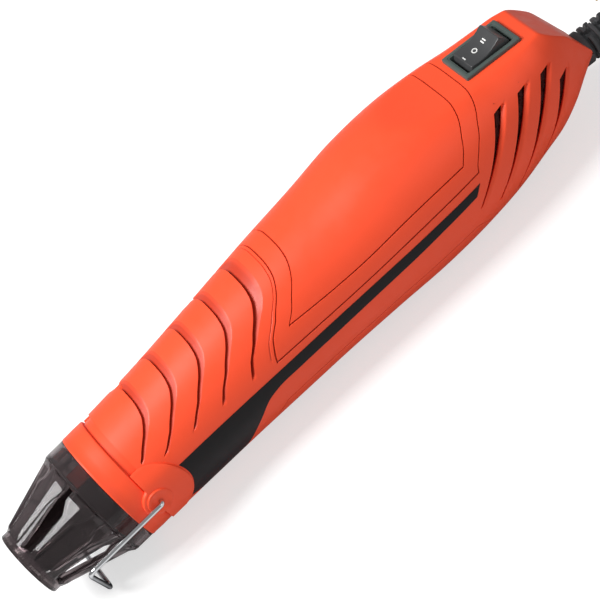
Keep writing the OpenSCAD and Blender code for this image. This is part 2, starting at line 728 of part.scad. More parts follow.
module fan_impeller() {
  color("ivory") lift() along_x(fan_x) difference() {
    union() {
      cylinder(r = hub_r, h = fan_len);
      intersection() {
        difference() {
          cylinder(r = fan_d / 2, h = fan_len);
          translate([0, 0, -1]) cylinder(r = hub_r - 1, h = fan_len + 2);
        }
        for (k = [0:blade_count - 1]) rotate(k * 360 / blade_count) translate([0, 0, fan_len / 2])
          rotate([90 - blade_pitch, 0, 0]) translate([hub_r - 2, -fan_len, -0.7])
            cube([fan_d, 2 * fan_len, 1.4]);
      }
    }
    translate([0, 0, fan_len - 1.5]) difference() {
      cylinder(r = hub_r - 1.5, h = 4);
      translate([0, 0, -1]) cylinder(r = 3.4, h = 6);
    }
    translate([0, 0, -1]) cylinder(r = shaft_d / 2, h = fan_len + 2);
  }
}
module motor_shaft() {
  color("lightgray") lift() along_x(fan_x + 1)
    cylinder(r = shaft_d / 2, h = motor_x + motor_len + 4.5 - fan_x);
}
motor_r = motor_d / 2;
module motor_can() {
  color("silver") lift() along_x(motor_x) difference() {
    union() {
      cylinder(r = motor_r, h = motor_len);
      translate([0, 0, -1.6]) cylinder(r = 4, h = 2);
    }
    translate([0, 0, -3]) cylinder(r = shaft_d / 2 + run_gap, h = motor_len + 6);
    translate([0, 0, 8]) cylinder(r = motor_r - 1, h = motor_len);
    for (s = [-1, 1]) translate([0, 7 * s, -0.1]) cylinder(r = 1.2, h = 3);
    for (s = [0, 180]) rotate(s) translate([motor_r - 1.5, -4, 16]) cube([3, 8, 5]);
  }
}
magnet_t = 3;
magnet_x = 11;
magnet_l = 18;
air_gap = 0.6;
armature_r = motor_r - 1 - magnet_t - air_gap;
module motor_magnets() {
  color("#444444") lift() along_x(motor_x + magnet_x) difference() {
    cylinder(r = motor_r - 1.02, h = magnet_l);
    translate([0, 0, -1]) cylinder(r = motor_r - 1 - magnet_t, h = magnet_l + 2);
    for (s = [0, 180]) rotate(s) translate([4, -5, -1]) cube([motor_r, 10, magnet_l + 2]);
  }
}
armature_slots = 5;
module motor_armature() {
  color("#8a4b2a") lift() along_x(motor_x + magnet_x) difference() {
    union() {
      translate([0, 0, 1]) cylinder(r = armature_r, h = magnet_l - 2);
      translate([0, 0, magnet_l - 1.1]) cylinder(r = 3, h = 4.6);
    }
    for (k = [0:armature_slots - 1]) rotate(k * 360 / armature_slots)
      translate([4.4, -0.9, 0]) cube([motor_r, 1.8, magnet_l]);
    translate([0, 0, -1]) cylinder(r = shaft_d / 2, h = magnet_l + 8);
  }
}
module motor_end_cap() {
  color("dimgray") lift() along_x(motor_x + motor_len) difference() {
    union() {
      translate([0, 0, -2]) cylinder(r = motor_r - 1.02, h = 2.01);
      cylinder(r = motor_r, h = 2);
      translate([0, 0, 2]) cylinder(r = 4.4, h = 2.2);
      for (s = [-1, 1]) translate([7.6 * s - 0.4, -1.5, 1.9]) cube([0.8, 3, 5]);
    }
    translate([0, 0, -3]) cylinder(r = shaft_d / 2 + run_gap, h = 9);
  }
}
module motor_screws() {
  color("silver") lift() for (s = [-1, 1]) translate([0, 7 * s, 0]) along_x(spider_x) {
    translate([0, 0, -1.4]) cylinder(r = 2.1, h = 1.4);
    cylinder(r = 1.17, h = spider_t + 2.6);
  }
}

// Board and switch
module circuit_board() {
  color("darkgreen") lift() translate([board_x - board_l / 2, -board_w / 2, ledge_z])
    cube([board_l, board_w, board_t]);
}
module board_parts() {
  top = ledge_z + board_t;
  color("navy") lift() {
    translate([board_x - 8, -5, top]) cylinder(r = 4, h = 8);
    translate([board_x - 8, 6, top]) cylinder(r = 3, h = 5.5);
    for (i = [0:3]) translate([board_x - 1 + 3.6 * i, 1.5, top + 1.3]) rotate([90, 0, 0])
      cylinder(r = 1.3, h = 5.2);
    translate([board_x + 3, 4, top]) cube([6, 3.6, 4]);
  }
}
pocket_l = bezel_l - 3.8;
pocket_w = bezel_w - 3.8;
pivot_drop = 1;
rocker_l = pocket_l - 1.4;
rocker_w = pocket_w - 0.5;
// Distance of each crest of the rocker from its end
crest_inset = 1.1;
module switch_body() {
  color("#2b2c2e") lift() at_switch() difference() {
    union() {
      translate([-bezel_l / 2, -bezel_w / 2, 0]) cube([bezel_l, bezel_w, bezel_t]);
      translate([-bezel_l / 2 + 1.05, -bezel_w / 2 + 1.05, -switch_depth])
        cube([bezel_l - 2.1, bezel_w - 2.1, switch_depth + 0.1]);
    }
    translate([-pocket_l / 2, -pocket_w / 2, -pivot_drop - 4.4]) cube([pocket_l, pocket_w, 10]);
    translate([0, bezel_w / 2 - 1.5, -pivot_drop]) rotate([90, 0, 0])
      cylinder(r = 1 + run_gap, h = bezel_w - 3);
  }
}
// The rocker stands in the photographed place, its front end pressed down
module switch_rocker() {
  e = rocker_l / 2;
  color("#3a3b3d") lift() at_switch() translate([0, 0, -pivot_drop]) rotate([0, -rocker_tilt, 0]) {
    translate([0, rocker_w / 2, 0]) rotate([90, 0, 0]) linear_extrude(rocker_w) polygon([
      [-e + crest_inset, 4.3], [-e / 2, 3.5], [0, 3.1], [e / 2, 3.5], [e - crest_inset, 4.3],
      [e + 0.2, 0.8], [e - 0.6, -1.8], [2, -3.2],
      [-2, -3.2], [-e + 0.6, -1.8], [-e - 0.2, 0.8]
    ]);
    translate([0, pocket_w / 2 + 0.25, 0]) rotate([90, 0, 0]) cylinder(r = 1, h = pocket_w + 0.5);
  }
}
module switch_terminals() {
  color("gold") lift() at_switch() for (i = [-1:1])
    translate([6 * i - 0.4, -2.4, -switch_depth - 6.5]) cube([0.8, 4.8, 6.5]);
}

// Wire stand, folded forward under the guard
wire_r = wire_d / 2;
bush_face = front_d / 2 + lobe_h + 0.1;
leg_y = bush_face + 0.3 + wire_r + 0.3;
pin_depth = 3.6;
pin_end = bush_face + 0.3;
foot_x = pivot_x - leg_len;
stand_half = [[pivot_x, -leg_y, 0], [foot_x, -leg_y, 0], [foot_x, -foot_w / 2, -foot_drop]];
stand_points = [
  [pivot_x, -pin_end, 0], each stand_half,
  for (i = [2:-1:0]) [stand_half[i][0], -stand_half[i][1], stand_half[i][2]],
  [pivot_x, pin_end, 0]
];
stand_bends = [0, leg_y - pin_end - 0.02, 2.6, 4, 4, 2.6, leg_y - pin_end - 0.02, 0];
bend_rings = 5;
wire_sides = 10;
// Path along straight runs with round bends at its inner points
function rounded(p, bends) = [
  p[0],
  for (i = [1:len(p) - 2])
    let (
      d0 = unit(p[i] - p[i - 1]), d1 = unit(p[i + 1] - p[i]), turn = acos(d0 * d1),
      side = unit(d1 - d0 * (d0 * d1)), centre = p[i] - d0 * bends[i] * tan(turn / 2) + side * bends[i]
    )
      for (j = [0:bend_rings]) let (a = turn * j / bend_rings)
        centre + bends[i] * (d0 * sin(a) - side * cos(a)),
  p[len(p) - 1]
];
module stand_wire() {
  color("silver") lift() tube(rounded(stand_points, stand_bends), wire_r, wire_sides);
}
// Pins that the wire's ends are pressed onto, and that turn in the bushes
module stand_pins() {
  color("silver") lift() for (s = [0, 180]) translate([pivot_x, 0, 0]) rotate([90, 0, s])
    translate([0, 0, bush_face - pin_depth]) cylinder(r = wire_r, h = pin_end - bush_face + pin_depth);
}
module stand_bushes() {
  color("orangered") lift() for (s = [0, 180]) translate([pivot_x, 0, 0]) rotate([90, 0, s]) difference() {
    translate([0, 0, neck_r - wall - 0.4]) cylinder(r = bush_r, h = bush_face - neck_r + wall + 0.4);
    translate([0, 0, neck_r - wall - 1]) cylinder(r = wire_r + run_gap, h = bush_face);
  }
}

// Self-adhesive strip on the visible side, with nothing printed on it
label_t = 0.3;
label_lift = 0.12;
label_rows = 6;
// Points of its lower and upper edge, in pairs, each a place from the front of the housing and a height
label_low = [
  [10, -12.3], [17, -12.4], [23, -12.3], [29, -11.9], [33, -9], [37.6, -5.6], [43.3, -1.5], [47, -0.4],
  [58, 0.2], [72, 0.4], [88, 0.7], [104, 1], [120, 1.6], [131, 2]
];
label_high = [
  [13, 4.1], [18, 4.1], [23, 4.1], [28, 4.1], [33, 4.2], [38, 4.2], [43, 4.3], [47, 4.3], [58, 4.4],
  [72, 4.6], [88, 4.7], [104, 4.8], [121, 4.9], [134.3, 4.9]
];
label_edge_r = lobe_r + 0.4;
label_front = [
  for (i = [0:label_rows]) let (a = mix(-58, 19.6, i / label_rows))
    [pivot_x - body_x + label_edge_r * cos(a), label_edge_r * sin(a)]
];
function label_row(low, high) = [for (i = [0:label_rows]) mix(low, high, i / label_rows)];
function on_skin(p, grow) = section(body_x + p[0], turn_of(body_x + p[0], p[1]), grow);
module side_label() {
  color("#161616") lift() plate_solid([
    for (row = [label_front, for (i = [0:len(label_low) - 1]) label_row(label_low[i], label_high[i])]) [
      for (p = row) on_skin(p, label_lift + label_t),
      for (j = [label_rows:-1:0]) on_skin(row[j], label_lift),
    ]
  ]);
}

// Cord clamp and the end of the cord inside the tail
module cord_clamp() {
  color("dimgray") lift() at_clamp() difference() {
    translate([-2.5, -9, 0.4]) cube([5, 18, inner_r + 1.8]);
    rotate([0, 90, 0]) translate([0, 0, -5]) cylinder(r = inner_r + 0.03, h = 10);
    for (s = [-1, 1]) translate([0, clamp_y * s, -1]) cylinder(r = clamp_screw_r + 0.04, h = 12);
  }
}
module clamp_screws() {
  color("silver") lift() at_clamp() for (s = [-1, 1]) translate([0, clamp_y * s, 0]) {
    translate([0, 0, inner_r + 2.2]) cylinder(r = 2.2, h = 1.4);
    translate([0, 0, -6.8]) cylinder(r = clamp_screw_r, h = inner_r + 9.1);
  }
}
module inner_cord() {
  color("#151515") lift() at_boot() translate([0, 0, -21]) cylinder(r = inner_r, h = 21 - boot_inside);
}
// Ribbed strain relief: a tapered core with rings, each cut into teeth that stand between the last ring's
rib_pitch = 2.7;
fin_t = 1.25;
relief_end = relief_d / 2 - 1.1;
teeth = 4;
tooth_gap = 2.2;
tooth_depth = 1.5;
module toothed_ring(r, turn) {
  difference() {
    cylinder(r = r, h = fin_t);
    for (a = [0:360 / teeth:359]) rotate(a + turn) translate([r - tooth_depth, -tooth_gap / 2, -1])
      cube([2 * tooth_depth, tooth_gap, fin_t + 2]);
  }
}
module strain_relief() {
  rib_total = floor((relief_len - 5) / rib_pitch);
  core = relief_d / 2 - 1.7;
  color("#1a1a1a") lift() at_boot() {
    translate([0, 0, -boot_inside]) cylinder(r = relief_d / 2, h = boot_inside + 1.4);
    translate([0, 0, 1]) cylinder(r1 = core, r2 = inner_r + 0.5, h = relief_len - 1);
    for (i = [0:rib_total - 1]) let (t = i / rib_total) translate([0, 0, 2.6 + i * rib_pitch])
      toothed_ring(mix(relief_d / 2, relief_end, t), (i % 2 + 0.5) * 180 / teeth);
  }
}

// Route of the cord from the strain relief to the coil, in millimetres above the resting surface
relief_tip = boot_line(relief_len) + [0, 0, axis_z];
cord_r = cord_d / 2;
lead_points = [
  [167, -0.8, 9], [175, -3.6, 7.2], [184, -8.6, 5.4], [193, -14.8, 4.2], [201, -20.2, 3.6],
  [208.5, -24.2, 3.43]
];
function smooth_path(p, k) = [
  for (i = [0:len(p) - 2], s = [0:k - 1])
    let (
      t = s / k, h = norm(p[i + 1] - p[i]),
      a = i == 0 ? p[1] - p[0] : (p[i + 1] - p[i - 1]) / 2,
      b = i == len(p) - 2 ? p[i + 1] - p[i] : (p[i + 2] - p[i]) / 2
    ) (2 * t ^ 3 - 3 * t ^ 2 + 1) * p[i] + (t ^ 3 - 2 * t ^ 2 + t) * a
      + (3 * t ^ 2 - 2 * t ^ 3) * p[i + 1] + (t ^ 3 - t ^ 2) * b,
  p[len(p) - 1]
];
// A tied hank lies on the surface behind the tail. Two layers of turns, spiralling in and out again.
coil_side = 6;
coil_r = cord_r * 1.05;
coil_flat = coil_r * cos(30);
coil_step = 2 * coil_r + 0.6;
layer_step = 2 * coil_flat + 0.6;
coil_outer = coil_inner + coil_turns * coil_step;
hank_x = 219;
hank_ends = [5, 2, 0];
tie_t = 0.7;
coil_z = coil_flat + tie_t;
bend_steps = 12;
layer_bends = 2 * coil_turns;
// Point of a bend after i half turns. Every other bend is at the far end of the hank.
function coil_point(bend, i) =
  let (
    a = -90 + 180 * i,
    r = i <= layer_bends ? mix(coil_outer, coil_inner, i / layer_bends)
      : i <= layer_bends + 1 ? coil_inner
      : mix(coil_inner, coil_outer, (i - layer_bends - 1) / layer_bends)
  ) [
    hank_x + (bend % 2 == 0 ? hank_len : 0) + r * cos(a), r * sin(a),
    coil_z + layer_step * ease(i - layer_bends)
  ];
coil_path = [
  [hank_x, -coil_outer, coil_z],
  for (bend = [0:2 * layer_bends], j = [0:bend_steps]) coil_point(bend, bend + j / bend_steps),
  [hank_x, coil_outer, coil_z + layer_step],
];
echo(cord_coil_gap = self_gap(coil_path, 2 * coil_flat, bend_steps + 2));
function path_length(p, i = 0) = i > len(p) - 2 ? 0 : norm(p[i + 1] - p[i]) + path_length(p, i + 1);
echo(cord_coil_length = path_length(coil_path));
module cord_coil() {
  color("#151515") tube(coil_path, coil_r, coil_side, [0, 0, 1], 30);
}

module cord_lead() {
  d = [cos(relief_droop), 0, -sin(relief_droop)];
  path = smooth_path([
    relief_tip, relief_tip + d * cord_d, each lead_points,
    for (x = hank_ends) [hank_x - x, -coil_outer, coil_z]
  ], 3);
  color("#151515") tube(path, cord_r, 8, [0, 1, 0], 22.5);
}
// The other end of the cord runs from the hank to the plug, beside the lead
plug_gap = 30;
plug_neck_l = 12;
plug_l = 24;
plug_z = coil_z + layer_step;
plug_r = plug_z;
plug_x = hank_x - plug_gap;
plug_y = 17.2;
plug_points = [[plug_x + 8, 18, plug_z], [plug_x + 14, 21, plug_z], [plug_x + 20, 24.4, plug_z]];
module plug_lead() {
  path = smooth_path([
    for (x = [0, 1.5, 3.5]) [plug_x + x, plug_y, plug_z], each plug_points,
    for (x = hank_ends) [hank_x - x, coil_outer, plug_z]
  ], 3);
  color("#151515") tube(path, cord_r, 8, [0, 0, 1], 22.5);
}
module plug_body() {
  color("#151515") translate([plug_x, plug_y, plug_z]) rotate([0, -90, 0]) {
    cylinder(r1 = cord_r + 1.2, r2 = plug_r - 2, h = plug_neck_l);
    for (i = [0:2]) translate([0, 0, 2 + 3 * i]) cylinder(r = cord_r + 2.4 + 0.7 * i, h = 1.4);
    translate([0, 0, plug_neck_l]) cylinder(r = plug_r, h = plug_l);
  }
}
module plug_pins() {
  color("gold") translate([plug_x - plug_neck_l - plug_l, plug_y, plug_z])
    for (s = [-1, 1]) translate([-17, s * 6.35 - 0.75, -3.2]) cube([17, 1.5, 6.4]);
}
// Strap round the middle of the hank
module coil_tie() {
  gap = 0.4;
  w = 2 * (coil_outer + coil_r + gap);
  h = 2 * coil_flat + layer_step + gap;
  color("#202020") translate([hank_x + hank_len / 2 - 4, -w / 2, 0]) difference() {
    translate([0, -tie_t, 0]) cube([8, w + 2 * tie_t, h + 2 * tie_t]);
    translate([-1, 0, tie_t]) cube([10, w, h]);
  }
}

left_shell();
right_shell();
shell_screws();
front_collar();
nozzle_guard();
outlet_tube();
tube_washer();
mica_sleeve();
heater_former();
heating_coil();
thermal_cutout();
air_guide();
fan_duct();
fan_impeller();
motor_shaft();
motor_armature();
motor_magnets();
motor_can();
motor_end_cap();
motor_screws();
circuit_board();
board_parts();
switch_body();
switch_rocker();
switch_terminals();
stand_wire();
stand_pins();
stand_bushes();
side_label();
cord_clamp();
clamp_screws();
inner_cord();
strain_relief();
cord_lead();
cord_coil();
plug_lead();
coil_tie();
plug_body();
plug_pins();
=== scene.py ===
"""Looks of an embossing heat tool, built round its packed construction.

Sizes are millimetres, with heights from the air axis, until a mesh is made.
The nozzle points along -X, the visible side is -Y and the switch is on top.
"""

import json
import logging
import math
from dataclasses import dataclass, field
from enum import Enum

import bmesh
import bpy
import numpy as np
from mathutils import Matrix, Vector


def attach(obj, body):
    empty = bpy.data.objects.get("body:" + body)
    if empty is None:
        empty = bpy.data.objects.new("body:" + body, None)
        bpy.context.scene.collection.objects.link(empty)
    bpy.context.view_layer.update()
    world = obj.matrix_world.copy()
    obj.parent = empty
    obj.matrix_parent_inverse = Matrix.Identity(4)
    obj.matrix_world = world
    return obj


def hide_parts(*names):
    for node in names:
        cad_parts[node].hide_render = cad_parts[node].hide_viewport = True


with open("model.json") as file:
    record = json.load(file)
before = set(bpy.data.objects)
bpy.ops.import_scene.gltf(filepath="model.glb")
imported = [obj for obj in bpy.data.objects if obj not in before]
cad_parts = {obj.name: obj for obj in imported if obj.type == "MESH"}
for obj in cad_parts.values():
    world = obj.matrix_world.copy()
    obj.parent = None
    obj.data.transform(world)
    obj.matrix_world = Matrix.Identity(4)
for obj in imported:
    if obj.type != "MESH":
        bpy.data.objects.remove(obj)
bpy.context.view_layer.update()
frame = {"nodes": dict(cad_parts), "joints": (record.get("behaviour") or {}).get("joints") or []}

Pair = tuple[float, float]
Triple = tuple[float, float, float]
Quad = tuple[float, float, float, float]
Socket = bpy.types.NodeSocket
Material = bpy.types.Material

log = logging.getLogger("heat_tool")
MM = 0.001
WELD = 2e-6
JOINTS = {joint["name"]: joint for joint in frame["joints"]}


def joint_point(name: str) -> np.ndarray:
    """Place of a joint of the frame.

    Args:
        name: Name of the joint.

    Returns:
        Its point in millimetres, in the frame.
    """
    return np.array(JOINTS[name]["pos_m"]) / MM


AXIS_Z = float(joint_point("fan_spin")[2])
MIRROR = np.diag([1.0, -1.0, 1.0])
X_TO_LEFT = np.array([[0.0, 1.0, 0.0], [-1.0, 0.0, 0.0], [0.0, 0.0, 1.0]])
X_TO_RIGHT = np.array([[0.0, 1.0, 0.0], [1.0, 0.0, 0.0], [0.0, 0.0, 1.0]])


class Side(Enum):
    """The two halves of the housing: the visible one and the one with the screws."""

    LEFT = "left"
    RIGHT = "right"


class Level(Enum):
    """Whether a piece's heights are from the air axis or from the surface that the tool lies on."""

    AXIS = 0.0
    SURFACE = 1.0


def ease(t: np.ndarray) -> np.ndarray:
    """Smooth step from 0 to 1: 3t squared less 2t cubed, held outside."""
    c = np.clip(t, 0.0, 1.0)
    return c * c * (3.0 - 2.0 * c)


def mix(a: np.ndarray, b: np.ndarray, t: np.ndarray) -> np.ndarray:
    """Straight blend from a to b by t."""
    return a + (b - a) * t


def soft_min(a: np.ndarray, b: np.ndarray, blend: float) -> np.ndarray:
    """Lesser of two heights, with the edge between them rounded.

    Args:
        a: First height.
        b: Second height.
        blend: Difference of height over which they are blended.

    Returns:
        The lesser, less blend * h * (1 - h), where h is the share of a.
    """
    h = np.clip(0.5 + 0.5 * (b - a) / blend, 0.0, 1.0)
    return b + (a - b) * h - blend * h * (1.0 - h)


def tilt(degrees: float) -> np.ndarray:
    """Matrix that turns about Y, so that +X sinks by the angle."""
    a = math.radians(degrees)
    return np.array([[math.cos(a), 0.0, math.sin(a)], [0.0, 1.0, 0.0], [-math.sin(a), 0.0, math.cos(a)]])


def quarter(count: int) -> np.ndarray:
    """Angles of a quarter turn, for a rounded edge of count points."""
    return np.linspace(0.0, math.pi / 2, count)


def circle(count: int) -> np.ndarray:
    """Angles of a full turn in count steps, without the one that closes it."""
    return np.linspace(0.0, 2 * math.pi, count, endpoint=False)


def around(x: np.ndarray, r: np.ndarray, a: np.ndarray) -> np.ndarray:
    """Points at the places x along the X axis, at radius r and angle a about it, from Y to Z."""
    return np.stack(np.broadcast_arrays(x, r * np.cos(a), r * np.sin(a)), axis=-1)


def cubic(t: np.ndarray, a: np.ndarray, b: np.ndarray, leave: np.ndarray, reach: np.ndarray) -> np.ndarray:
    """Smooth way from a to b.

    Args:
        t: Share of the way, from 0 to 1.
        a: Value at the start.
        b: Value at the end.
        leave: Slope at the start, for the whole way.
        reach: Slope at the end, likewise.

    Returns:
        The value there.
    """
    rise = 3 * t**2 - 2 * t**3
    return (1 - rise) * a + (t**3 - 2 * t**2 + t) * leave + rise * b + (t**3 - t**2) * reach


def steps(start: float, stop: float, step: float) -> np.ndarray:
    """Even steps from start up to, but not at, stop, each about as long as step."""
    count = max(1, int(round((stop - start) / step)))
    return np.linspace(start, stop, count, endpoint=False)


@dataclass(frozen=True)
class Curve:
    """A smooth curve through a few chosen stations."""

    at: tuple[float, ...]
    value: tuple[float, ...]

    def __call__(self, x: np.ndarray) -> np.ndarray:
        """Value at x: a cubic between stations, with the slope of its neighbours at each.

        Args:
            x: Places along the curve.

        Returns:
            The values there, held at both ends.
        """
        xs, ys = np.array(self.at), np.array(self.value)
        slopes = np.gradient(ys, xs)
        i = np.clip(np.searchsorted(xs, x) - 1, 0, len(xs) - 2)
        h = xs[i + 1] - xs[i]
        t = np.clip((x - xs[i]) / h, 0.0, 1.0)
        return cubic(t, ys[i], ys[i + 1], h * slopes[i], h * slopes[i + 1])


@dataclass
class Patch:
    """Points in millimetres and the faces among them, which any number of grids share."""

    points: np.ndarray = field(default_factory=lambda: np.zeros((0, 3)))
    quads: np.ndarray = field(default_factory=lambda: np.zeros((0, 4), int))
    triangles: np.ndarray = field(default_factory=lambda: np.zeros((0, 3), int))

    def add(self, other: "Patch") -> "Patch":
        """Adds another patch to this one and returns this one."""
        n = len(self.points)
        self.points = np.concatenate([self.points, other.points])
        self.quads = np.concatenate([self.quads, other.quads + n])
        self.triangles = np.concatenate([self.triangles, other.triangles + n])
        return self

    def flipped(self) -> "Patch":
        """The same patch with its faces turned over."""
        return Patch(self.points, self.quads[:, ::-1], self.triangles[:, ::-1])

    def moved(self, offset: Triple) -> "Patch":
        """The same patch moved by offset."""
        return Patch(self.points + np.array(offset), self.quads, self.triangles)

    def turned(self, matrix: np.ndarray) -> "Patch":
        """The same patch turned by a 3 by 3 matrix."""
        return Patch(self.points @ matrix.T, self.quads, self.triangles)

    def mirrored(self) -> "Patch":
        """The same patch on the tool's other side, with its faces outwards again."""
        return self.turned(MIRROR).flipped()


def grid(points: np.ndarray, wrap: bool = False, keep: np.ndarray | None = None) -> Patch:
    """Faces between the rows and columns of a grid of points.

    Args:
        points: Rows by columns by 3.
        wrap: Whether the last column joins the first.
        keep: Rows - 1 by columns (less one unless it wraps), false where a face is left out.

    Returns:
        The patch. Going along a row and then to the next row turns left about a face's outside.
    """
    rows, cols = points.shape[:2]
    i, j = np.meshgrid(np.arange(rows - 1), np.arange(cols if wrap else cols - 1), indexing="ij")
    k = (j + 1) % cols
    quads = np.stack([i * cols + j, i * cols + k, (i + 1) * cols + k, (i + 1) * cols + j], axis=-1)
    quads = quads.reshape(-1, 4) if keep is None else quads[keep]
    return Patch(points.reshape(-1, 3), quads)


def cap(ring: np.ndarray, flip: bool = False) -> Patch:
    """Fan of triangles from a ring's middle to its points.

    Args:
        ring: Points round the ring.
        flip: Whether the faces are turned over.

    Returns:
        The patch, which faces so that the ring turns left about its outside.
    """
    n = len(ring)
    j = np.arange(n)
    triangles = np.stack([np.full(n, n), j, (j + 1) % n], axis=-1)
    patch = Patch(np.vstack([ring, ring.mean(0)]), triangles=triangles)
    return patch.flipped() if flip else patch


def plate(top: np.ndarray, base: np.ndarray) -> Patch:
    """Closed plate between two grids of like size, joined round their edges.

    Args:
        top: Grid of the outer face, which faces outwards.
        base: Grid of the inner face.

    Returns:
        The closed patch.
    """
    patch = grid(top).add(grid(base).flipped())
    for a, b in (
        (top[0], base[0]),
        (top[-1][::-1], base[-1][::-1]),
        (top[::-1, 0], base[::-1, 0]),
        (top[:, -1], base[:, -1]),
    ):
        patch.add(grid(np.stack([b, a])))
    return patch


def revolve(profile: np.ndarray, sides: int, start: Triple = (0.0, 0.0, 0.0)) -> Patch:
    """Surface of revolution about a line along X.

    Args:
        profile: Places along the line and radii, in the order that leaves the solid on the right.
        sides: Steps round.
        start: Point of the line from which the places are counted.

    Returns:
        The patch: each profile point is carried round as (x, r cos a, r sin a).
    """
    x, r = np.array(profile, float).T[..., None]
    return grid(around(x, r, circle(sides)), wrap=True).moved(start)


def sweep_tube(path: np.ndarray, radius: np.ndarray, sides: int, up: Triple) -> Patch:
    """Round tube along a path, closed at both ends.

    Args:
        path: Points of the middle line.
        radius: Radius at each point, or one for all.
        sides: Steps round the tube.
        up: Direction that the first point of each ring keeps to.

    Returns:
        The patch: each ring lies square to the path's direction at its point.
    """
    along = np.gradient(path, axis=0)
    along /= np.linalg.norm(along, axis=1)[:, None]
    normal = np.empty_like(along)
    n = np.array(up, float)
    for i, t in enumerate(along):
        n = n - t * (n @ t)
        n = n / np.linalg.norm(n)
        normal[i] = n
    side = np.cross(along, normal)
    a = circle(sides)
    r = np.broadcast_to(np.asarray(radius, float), (len(path),))[:, None, None]
    rings = path[:, None] + r * (
        np.cos(a)[None, :, None] * normal[:, None] + np.sin(a)[None, :, None] * side[:, None]
    )
    patch = grid(rings, wrap=True)
    return patch.flipped().add(cap(rings[0], flip=True)).add(cap(rings[-1]))


def rounded_path(points: np.ndarray, bends: tuple[float, ...], rings: int) -> np.ndarray:
    """Straight runs with a round bend at each inner point.

    Args:
        points: Ends and corners of the path.
        bends: Radius of the bend at each point, not used at the two ends.
        rings: Points along each bend.

    Returns:
        The points of the path.
    """
    out = [points[0]]
    for i in range(1, len(points) - 1):
        before = points[i] - points[i - 1]
        after = points[i + 1] - points[i]
        before, after = before / np.linalg.norm(before), after / np.linalg.norm(after)
        turn = math.acos(float(before @ after))
        side = after - before * (before @ after)
        side = side / np.linalg.norm(side)
        centre = points[i] - before * bends[i] * math.tan(turn / 2) + side * bends[i]
        for a in np.linspace(0.0, turn, rings):
            out.append(centre + bends[i] * (before * math.sin(a) - side * math.cos(a)))
    out.append(points[-1])
    return np.array(out)


def welded(name: str, patch: Patch, level: Level, tone: np.ndarray | None = None) -> bpy.types.Mesh:
    """Turns a patch into a mesh whose shared edges are joined.

    Args:
        name: Name of the mesh.
        patch: Its points and faces.
        level: What the heights are counted from.
        tone: A value to keep at each point.

    Returns:
        The mesh, in metres.
    """
    lift = AXIS_Z if level is Level.AXIS else 0.0
    points = (patch.points + np.array([0.0, 0.0, lift])) * MM
    mesh = bpy.data.meshes.new(name)
    mesh.from_pydata(points.tolist(), [], patch.quads.tolist() + patch.triangles.tolist())
    if tone is not None:
        mesh.attributes.new("tone", "FLOAT", "POINT").data.foreach_set("value", tone.astype(np.float32))
    work = bmesh.new()
    work.from_mesh(mesh)
    bmesh.ops.remove_doubles(work, verts=work.verts, dist=WELD)
    bmesh.ops.delete(work, geom=[v for v in work.verts if not v.link_faces], context="VERTS")
    work.to_mesh(mesh)
    work.free()
    return mesh


def make_piece(
    name: str,
    patch: Patch,
    body: str,
    material: Material,
    sharp: float = 35.0,
    level: Level = Level.AXIS,
    tone: np.ndarray | None = None,
) -> bpy.types.Object:
    """Turns a patch into a mesh object of the scene that rides on a body.

    Args:
        name: Name of the piece.
        patch: Its points and faces.
        body: Body that it moves with.
        material: Its finish.
        sharp: Angle in degrees past which an edge is shaded sharp.
        level: What the heights are counted from.
        tone: Share of painted shade at each point, if the finish uses it.

    Returns:
        The object, at the origin, with its place in its mesh.
    """
    mesh = welded(name, patch, level, tone)
    mesh.validate()
    mesh.shade_smooth()
    mesh.set_sharp_from_angle(angle=math.radians(sharp))
    mesh.materials.append(material)
    piece = bpy.data.objects.new(name, mesh)
    bpy.context.scene.collection.objects.link(piece)
    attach(piece, body)
    log.info("%s: %d faces on %s", name, len(mesh.polygons), body)
    return piece


def solidify(piece: bpy.types.Object, wall: float, inside: Material | None = None) -> None:
    """Gives a skin its wall, inwards.

    Args:
        piece: Object whose mesh is the outer skin.
        wall: Thickness in millimetres.
        inside: Finish of the wall's inner side, where it isn't that of the skin.
    """
    modifier = piece.modifiers.new("wall", "SOLIDIFY")
    modifier.thickness = wall * MM
    modifier.offset = -1.0
    if inside is not None:
        piece.data.materials.append(inside)
        modifier.material_offset = 1


def cut(piece: bpy.types.Object, patch: Patch, sharp: float) -> None:
    """Cuts closed forms out of a piece and keeps the result as its mesh.

    Args:
        piece: The piece, with its wall.
        patch: The forms, with heights from the air axis.
        sharp: Angle in degrees past which an edge is shaded sharp.
    """
    mesh = welded("cutter", patch, Level.AXIS)
    cutter = bpy.data.objects.new("cutter", mesh)
    bpy.context.scene.collection.objects.link(cutter)
    modifier = piece.modifiers.new("openings", "BOOLEAN")
    modifier.solver, modifier.operation, modifier.object = "EXACT", "DIFFERENCE", cutter
    graph = bpy.context.evaluated_depsgraph_get()
    made = bpy.data.meshes.new_from_object(piece.evaluated_get(graph), depsgraph=graph)
    piece.modifiers.clear()
    piece.data = made
    made.set_sharp_from_angle(angle=math.radians(sharp))
    bpy.data.objects.remove(cutter)
    bpy.data.meshes.remove(mesh)
    log.info("%s: cut, %d faces", piece.name, len(made.polygons))


